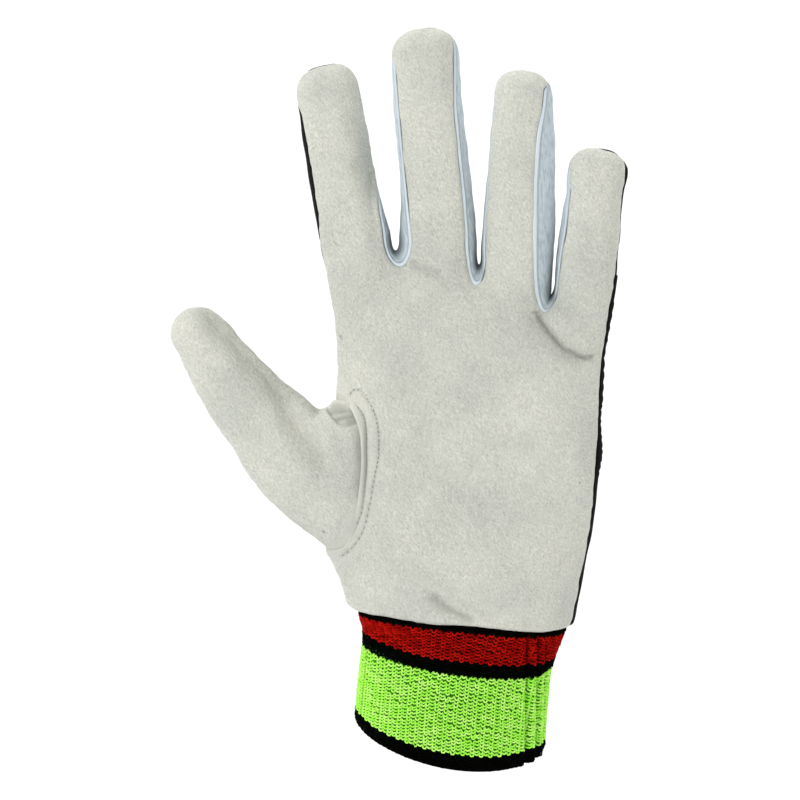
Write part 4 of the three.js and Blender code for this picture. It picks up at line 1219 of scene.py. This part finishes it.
def build_strip(gap, name, material):
    """A strip: the band from the leather's edge to the back's seam, once round its gap."""
    lines, bottom, reach = gap_lines(gap)
    grid = edge_band(lines, reach, 1, STRIP_COLUMNS)
    values = with_lengths(grid)
    inset = np.linalg.norm(lines["palm"] - lines["outline"], axis=-1) * ramp(reach, -0.7, -1)
    values["inset"] = np.broadcast_to(inset[:, None], grid.shape[:2])
    values["up"] = np.abs(values["along"] - values["along"][bottom])
    values["place"] = np.broadcast_to(np.linspace(0, 1, STRIP_COLUMNS + 1), grid.shape[:2])
    return sheet_piece(name, [(grid, True, values)], strip_relief, STRIP, material, "strip_fabric")


def thumb_start():
    """The thumb's first ring, once round the hole, with the angle of each point round the
    thumb: -90 degrees at its lower edge, 0 at the front, 90 at its upper edge."""
    front, front_share = hole_line(HOLE_IN_PALM, RIM_INSET)
    back, back_share = hole_line(HOLE_IN_BACK, RIM_INSET)

    def crossing(z):
        insets = {"outline": 0, "palm": RIM_INSET, "back": RIM_INSET}
        lines = {line: outer_points(-1, np.array([z]), inset) for line, inset in insets.items()}
        return edge_band(lines, -1, 1, THUMB_SIDE)[0][1:-1]

    place = np.linspace(-1, 1, THUMB_SIDE + 1)
    turn = np.interp(place, [-1, 0.6, 1], [HOLE_TURN, 90, 180 - HOLE_TURN])[1:-1]
    ring = np.concatenate([skin(front, -1), crossing(HOLE_TOP), skin(back, 1)[::-1],
                           crossing(HOLE_BOTTOM)[::-1]])
    behind = mix(180 + HOLE_TURN, 180 - HOLE_TURN, back_share)[::-1]
    angle = np.concatenate([mix(-HOLE_TURN, HOLE_TURN, front_share), turn, behind,
                            (360 - turn)[::-1]])
    return np.concatenate([ring, ring[:1]]), np.radians(np.append(angle, angle[0] + 360))


def thumb_point(at, angle, closing=0.0):
    """The thumb's section: an ellipse on its upper and lower edge. closing draws it together
    to the tip as the root of one minus its square."""
    value = {k: read(THUMB, "at", k, at) for k in THUMB if k != "at"}
    up = (1 + np.sin(angle)) / 2
    flat = 0 * up
    edge = np.stack([mix(value["lx"], value["ux"], up),
                     value["mid"] - np.cos(angle) * value["depth"],
                     mix(value["lz"], value["uz"], up)], -1)
    centre = np.stack([flat + (value["ux"] + value["lx"]) / 2, flat + value["mid"],
                       flat + (value["uz"] + value["lz"]) / 2], -1)
    closing = np.asarray(closing + flat)[..., None]
    return mix(centre, THUMB_TIP, closing) + (edge - centre) * np.sqrt(1 - closing**2)


def thumb_grid():
    """Rings from the hole to the tip: the hole's own shape fades out below the thumb's."""
    ring, angle = thumb_start()
    at = np.linspace(0, THUMB_LAST, THUMB_ROWS + 1)[:, None]
    rest = ramp(at, THUMB_MERGE, 0)[..., None]
    body = thumb_point(at, angle[None]) + (ring - thumb_point(0.0, angle)) * rest
    closing = np.sin(np.arange(1, THUMB_TIP_ROWS + 1) / THUMB_TIP_ROWS * np.pi / 2)[:, None]
    grid = np.concatenate([body, thumb_point(THUMB_LAST, angle[None], closing)])
    grid[:, -1] = grid[:, 0]
    return grid


def thumb_relief(points, edge, values):
    """The thumb: tucked under the palm's lip at the front, the sunk web with its edge and two
    rolls, the dent along the thumb and the ridge beside it. Painted shade darkens the web, a line
    under each roll, the upper side that falls away and the edge under the lip."""
    x, z = points[:, 0], points[:, 2]
    flat = points[:, [0, 2]]
    front = ramp(read(THUMB, "at", "mid", values["section"]) - points[:, 1], 0, 5)
    sewn = distance_to_line(flat, HOLE_SEWN)
    move = uneven(points, "thumb") - 0.1 * hump(edge, 0, 0.8) * (1 - front)
    move -= mix(*THUMB_TUCK, lip_share(z)) * ramp(sewn, *THUMB_TUCK_GOES) * front

    inside = above_line(flat, curve(WEB_EDGE, 0.4))
    near = ramp(x, -50, -47) * front
    top = np.array(UPPER_FOLD["line"])
    below_top = ramp(np.interp(x, top[:, 0], top[:, 1]) - z, 0, 1.2)
    web = ramp(inside, -0.25, 0.65) * near * (x > WEB_START) * below_top
    move += 0.35 * hump(inside, -1.1, 1.0) * near - WEB_DEPTH * web
    behind = ramp(inside, 0, 0.8) * near
    # Painted shadow in a line under each roll of the fold.
    under = np.zeros_like(x)
    for fold in (LOWER_FOLD, UPPER_FOLD):
        line = curve(fold["line"], 0.4)
        move += fold["height"] * hump(distance_to_line(flat, line), 0, fold["width"]) * behind
        under += 0.25 * hump(distance_to_line(flat, line - (0, 1.2)), 0, 0.45) * behind

    beyond = above_line(flat, curve(THUMB_DENT, 1))
    upper = ramp(x, -53, -62)
    away = ramp(beyond, -7, 7) * upper * ramp(x, -88, -78)
    move -= (FALL_AWAY * away + DENT_DEPTH * hump(beyond, 0, DENT_WIDTH) * (1 - upper)) * front
    move += RIDGE_HEIGHT * hump(distance_to_line(flat, curve(THUMB_RIDGE, 1)), 0, RIDGE_WIDTH) * front

    inner = distance_to_line(flat, INNER_LINE)
    worn = np.clip(0.95 * web + 0.7 * hump(sewn, 1.5, 2.5) * front + 0.3 * hump(inner, 0, 1), 0, 1)
    # Painted shade in the sunk web, under the rolls, on the upper side that falls away and along the edge
    # under the lip.
    shade = 0.2 * web * ramp(inside, 6, 3.5) + under + 0.12 * away
    shade += 0.25 * lip_share(z) * hump(sewn, 1.2, 1.0) * front
    return move, {"worn": worn, "shade": np.clip(shade, 0, 1)}, 1.0


def build_thumb(material):
    """The thumb: its rings as one sheet, whose points keep their place along the sections."""
    grid = thumb_grid()
    section = np.minimum(np.arange(len(grid)) * THUMB_LAST / THUMB_ROWS, THUMB_LAST)
    values = {"section": np.broadcast_to(section[:, None], grid.shape[:2])}
    return sheet_piece("thumb", [(grid, False, values)], thumb_relief, LEATHER, material, "chamois_leather")


def border_ring(palm_edges, back_edges):
    """Lower edge of the leather and the back, once round, at equal steps."""
    def first(edges, side):
        runs = [resample(np.stack([e["left"][0], e["right"][0]]), BORDER_STEPS)[:-1] for e in edges]
        return skin(np.concatenate(runs + [edges[-1]["right"][:1]]), side)

    def rim(side):
        lines = {k: line[:1] for k, line in rim_lines(side, palm_edges, back_edges).items()}
        return edge_band(lines, -1, 1, BORDER_SIDE)[0][1:]

    ring = np.concatenate([first(palm_edges, -1), rim(1)[:-1], first(back_edges, 1)[::-1], rim(-1)[::-1]])
    return resample(ring, WALES * COLUMNS_PER_WALE)


def cuff_point(at, start):
    """The cuff's section under a point of the border: an ellipse on a sloping plane."""
    def value(name, place):
        return read(CUFF, "at", name, place)

    def centre(place):
        return (value("left", place) + value("right", place)) / 2

    def half(place):
        return (value("right", place) - value("left", place)) / 2

    angle = np.arctan2((start[:, 1] - value("mid", 0)) / value("depth", 0),
                       (start[:, 0] - centre(0)) / half(0))
    x = centre(at) + np.cos(angle) * half(at)
    y = value("mid", at) + np.sin(angle) * value("depth", at)
    z = (1 - at) * CUFF_LENGTH - value("fall_right", at) * x + value("fall_front", at) * y
    return np.stack([x, y, z + value("lift", at) * np.cos(2 * angle)], -1)


def cuff_grid(ring, rows):
    """Rings of the cuff from the border down: the border's own shape fades out below it."""
    at = np.linspace(0, 1, rows + 1)[:, None]
    start = cuff_point(np.zeros((1, 1)), ring)
    return cuff_point(at, ring) + (ring - start) * (1 - at[..., None]) ** CUFF_FADE


def on_grid(grid, around, down):
    """Point of a grid that is closed round, at turns around and shares down, between its four
    nearest points."""
    rows, columns = grid.shape[0] - 1, grid.shape[1] - 1
    u, v = (around % 1) * columns, np.clip(down, 0, 1) * rows
    i, j = np.minimum(v.astype(int), rows - 1), np.minimum(u.astype(int), columns - 1)
    s, t = (v - i)[..., None], (u - j)[..., None]
    return mix(mix(grid[i, j], grid[i, j + 1], t), mix(grid[i + 1, j], grid[i + 1, j + 1], t), s)


def grooves(points):
    """Two grooves down the front of the cuff at its right, with ribs between and beside them."""
    return bells(CUFF_RIBS, points[..., 0]) * (points[..., 1] < 0)


def tuck(down, length, at_hem):
    """How far the knit draws in under the leather and at its hem."""
    return TUCK * ramp(down * length, TUCK_LENGTH, 0) + at_hem * ramp(down, HEM_START, 1)


def lift(x, down):
    """How much higher the stripes run than equal shares of the cuff's length: most at its left
    side in the red stripe, a little elsewhere, and nothing at its top and its hem."""
    left, right = ramp(x, -8, -32), ramp(x, 29, 34)
    high = LIFT_LEFT * left * ramp(down, 0.48, 0.2) + LIFT_REST * (1 - left)
    high = high * ramp(down, 0, 0.22) * ramp(down, 1, 0.35)
    return high + right * LIFT_RIGHT * (hump(down, 0.36, 0.12) - hump(down, 0.87, 0.12))


def yarn_tubes(grid, normals, first, count, random):
    """Courses of yarn, purl side out. A course goes once round the cuff, one turn of t a wale:
    at height h cos t plus an offset that is opposite at the feet of neighbouring loops and
    nothing at their heads, and at depth d cos t, so that the feet lie in front of the heads.
    It goes round faster at the feet, which makes them wide."""
    length = np.linalg.norm(np.diff(grid, axis=0), axis=-1).sum(0).mean()
    wale = np.arange(WALES * SAMPLES_PER_WALE) / SAMPLES_PER_WALE
    rows = np.arange(first, first + count)
    t = 2 * np.pi * wale[None]
    tone = random.normal(0, 1, (count, WALES))
    slack = random.normal(0, 1, (count, WALES))
    shift = np.stack([np.interp(wale, np.arange(WALES + 1), np.append(line, line[0])) for line in slack])
    around = (wale + LOOP_SLANT * np.sin(2 * t) - LOOP_WIDEN * np.sin(t) + SLACK_ROUND * shift) / WALES
    flatten = np.array([HEM_FLATTEN.get(row, 1.0) for row in rows])[:, None]
    high = LOOP_HEIGHT * np.cos(t) + LOOP_OFFSET * np.sin(np.pi * wale) + SLACK_UP * shift
    down = (rows[:, None] + 0.5 - high * flatten) / ALL_COURSES
    down = down - lift(on_grid(grid, around, down)[..., 0], down)
    centres = on_grid(grid, around, down)
    out = unit(on_grid(normals, around, down))
    deep = SLACK_OUT * shift[:, ::-1] - LOOP_DEPTH * np.cos(t) + grooves(centres)
    deep -= tuck(down, length, YARN_HEM) + YARN_RADIUS + YARN_SINK
    centres = centres + out * deep[..., None]
    ahead = unit(np.roll(centres, -1, 1) - np.roll(centres, 1, 1))
    rings, turn, ids, faces = tubes(centres, ahead, out, YARN_RADIUS, YARN_SIDES, 0.5, True)
    gone = np.cumsum(np.linalg.norm(np.diff(centres, axis=1, prepend=centres[:, :1]), axis=-1), 1)
    # height is low at the loops' heads, where the yarn's material paints shade.
    shown = {"along": gone, "tone": tone[:, wale.astype(int)], "height": -np.cos(t)}
    values = {k: np.broadcast_to(v[..., None], ids.shape).ravel() for k, v in shown.items()}
    values["around"] = np.broadcast_to(turn, ids.shape).ravel()
    return rings.reshape(-1, 3), faces, values


def build_cuff(ring):
    """A thin tube as the inside of the knit, darkened as painted shade, and over it the yarn of
    each colour.
    """
    grid = cuff_grid(ring, CUFF_ROWS)
    open_grid = grid[:, :-1]
    ahead = np.roll(open_grid, -1, 1) - np.roll(open_grid, 1, 1)
    normals = unit(np.cross(np.gradient(open_grid, axis=0), ahead))
    outward = open_grid - open_grid.mean(1, keepdims=True)
    normals *= np.sign((normals * outward).sum(-1, keepdims=True))
    normals = np.concatenate([normals, normals[:, :1]], 1)
    at = np.linspace(0, 1, len(grid))[:, None]
    under = BACKING_SINK + tuck(at, BACKING_LENGTH, BACKING_HEM)
    backing = grid + normals * (grooves(grid) - under)[..., None]
    backing[:, -1] = backing[:, 0]
    values = {"course": (at + lift(grid[..., 0], at)) * ALL_COURSES,
              "around": np.broadcast_to(np.linspace(0, WALES, grid.shape[1]), grid.shape[:2])}

    def relief(points, edge, values):
        return 0 * edge, values, 1.0

    sheet_piece("knit_cuff", [(backing, True, values)], relief, KNIT - BACKING_SINK, cuff_backing(),
                "cuff_knit")
    random = np.random.default_rng(SEED + 20)
    parts = {}
    start = 0
    for name, count in COURSES:
        parts.setdefault(name, []).append(yarn_tubes(grid, normals, start, count, random))
        start += count
    for name, runs in parts.items():
        starts = np.cumsum([0] + [len(points) for points, _, _ in runs])
        points = np.concatenate([points for points, _, _ in runs])
        faces = np.concatenate([faces + first for (_, faces, _), first in zip(runs, starts)])
        values = {k: np.concatenate([v[k] for _, _, v in runs]) for k in runs[0][2]}
        make_object("yarn_" + name, points, faces, yarn(name), "cuff_knit", values)


def stitches(palm, material):
    """Short threads laid along the two sewn rows, each a rounded bar half sunk in the leather:
    a profile of radii carried along an axis that lies in the plane of the nearest vertex and dips
    at both ends by the square of its place."""
    mesh = palm.data
    points, normals = np.empty((2, len(mesh.vertices) * 3))
    mesh.vertices.foreach_get("co", points)
    mesh.vertices.foreach_get("normal", normals)
    points, normals = points.reshape(-1, 3) / MM, normals.reshape(-1, 3)
    keep = (normals[:, 1] < -0.3) & (points[:, 0] < SEWN_X)
    keep &= (points[:, 2] > SEWN_BOTTOM) & (points[:, 2] < SEWN_TOP)
    points, normals = points[keep], normals[keep]
    flat, way = [], []
    for row, pitches in SPACINGS:
        line = curve(row, 0.1)
        pitch = mix(*pitches, ramp(line[:, 1], *SPACING_CHANGE))
        picks = np.flatnonzero(np.diff(np.floor(np.cumsum(0.1 / pitch))) > 0)
        flat.append(line[picks])
        way.append(line[np.minimum(picks + 2, len(line) - 1)] - line[np.maximum(picks - 2, 0)])
    flat, way = np.concatenate(flat), unit(np.concatenate(way))
    nearest = np.argmin(((points[:, [0, 2]] - flat[:, None]) ** 2).sum(-1), 1)
    spot, out = points[nearest], normals[nearest]

    def rise(step):
        return -(out[:, [0, 2]] * step).sum(-1) / out[:, 1]

    y = spot[:, 1] + rise(flat - spot[:, [0, 2]])
    centres = np.stack([flat[:, 0], y, flat[:, 1]], -1)
    ways = unit(np.stack([way[:, 0], rise(way), way[:, 1]], -1))
    along, wide = THREAD_PROFILE["along"][:, None], THREAD_PROFILE["wide"]
    axis = centres[:, None] + ways[:, None] * along * THREAD_LENGTH
    axis = axis + out[:, None] * (THREAD_RISE - along**2)
    rings, _, ids, faces = tubes(axis, ways[:, None], out[:, None], THREAD_RADIUS * wide,
                                 THREAD_SIDES, 0, False)
    fan = np.array([(0, a, a + 1, a + 1) for a in range(1, THREAD_SIDES - 1)])
    caps = [ids[:, end][:, fan].reshape(-1, 4)[:, ::turned] for end, turned in ((0, 1), (-1, -1))]
    return make_object("thumb_seam_stitches", rings.reshape(-1, 3), np.concatenate([faces, *caps]),
                       material, "chamois_leather")


# Studio: floor and backdrop, lights and camera, in metres.

FLOOR_Z, FLOOR_REACH = -0.16, 3.0
BACK_Y, BACK_RADIUS, BACK_TOP = 1.6, 0.7, 2.4
WORLD_LIGHT = 0.27
GLOVE, BACKDROP = (-0.015, 0, 0.13), (0, 1.5, 0.2)
LIGHTS = [
    ("key", (-0.9, -1.25, 0.9), GLOVE, 0.8, 16.4),
    ("fill", (1.35, -0.55, 0.2), GLOVE, 0.8, 4.4),
    ("backdrop_left", (-1.0, 0.55, 1.5), BACKDROP, 1.0, 16),
    ("backdrop_right", (1.0, 0.55, 1.5), BACKDROP, 1.0, 15),
]
CAMERA_AT = (-0.01725, -1.0893, 0.26945)
CAMERA_TILT = 82
CAMERA_LENS, CAMERA_SENSOR, CAMERA_END = 145.6, 36, 20


def build_floor():
    """A floor that curves up into a backdrop, carried along X: level, a quarter circle, upright."""
    angle = np.linspace(0, np.pi / 2, 24)
    y = np.concatenate([[-FLOOR_REACH], BACK_Y - BACK_RADIUS + BACK_RADIUS * np.sin(angle), [BACK_Y]])
    z = np.concatenate([[0], BACK_RADIUS * (1 - np.cos(angle)), [BACK_TOP]]) + FLOOR_Z
    x = np.linspace(-FLOOR_REACH, FLOOR_REACH, 9)
    points = np.stack(np.broadcast_arrays(x[None, :], y[:, None], z[:, None]), -1)
    faces = grid_faces(np.arange(points[..., 0].size).reshape(points.shape[:2]))
    make_object("studio_floor", points.reshape(-1, 3) / MM, faces, studio_white(), None)


def build_lights():
    """A white world and four square lamps, each turned to its aim."""
    world = bpy.data.worlds.new("studio")
    world.use_nodes = True
    world.node_tree.nodes["Background"].inputs["Color"].default_value = (1, 1, 1, 1)
    world.node_tree.nodes["Background"].inputs["Strength"].default_value = WORLD_LIGHT
    bpy.context.scene.world = world
    for name, place, aim, size, energy in LIGHTS:
        light = bpy.data.lights.new(name, "AREA")
        light.size, light.energy = size, energy
        lamp = bpy.data.objects.new(name, light)
        way = unit(np.array(place) - np.array(aim))
        side = unit(np.cross((0, 0, 1), way))
        axes = np.stack([side, np.cross(way, side), way, place], 1)
        lamp.matrix_world = Matrix([*axes.tolist(), (0, 0, 0, 1)])
        bpy.context.scene.collection.objects.link(lamp)


def build_camera():
    """A camera in front of the palm, tilted a little down."""
    camera = bpy.data.objects.new("camera", bpy.data.cameras.new("camera"))
    camera.data.lens, camera.data.sensor_width, camera.data.clip_end = CAMERA_LENS, CAMERA_SENSOR, CAMERA_END
    camera.location = CAMERA_AT
    camera.rotation_euler = (np.radians(CAMERA_TILT), 0, 0)
    bpy.context.scene.collection.objects.link(camera)
    bpy.context.scene.camera = camera
    bpy.context.scene.view_settings.view_transform = "Standard"


def main():
    """The studio, then each piece from the edges that the panels share."""
    build_floor()
    build_lights()
    build_camera()
    edges = panel_edges("palm", HOLE_AT_LIP), panel_edges("back", HOLE_IN_BACK)
    rim = {side: rims(side, *edges) for side in SIDES}
    leather = chamois("chamois_palm")
    palm = build_palm(edges[0], rim, leather)
    build_back(edges[1], rim, back_fabric())
    pale = strip_fabric()
    for gap, name in enumerate(("index_middle", "middle_ring", "ring_little")):
        build_strip(gap, "fourchette_" + name, pale)
    build_thumb(leather)
    build_cuff(border_ring(*edges))
    stitches(palm, thread())


main()
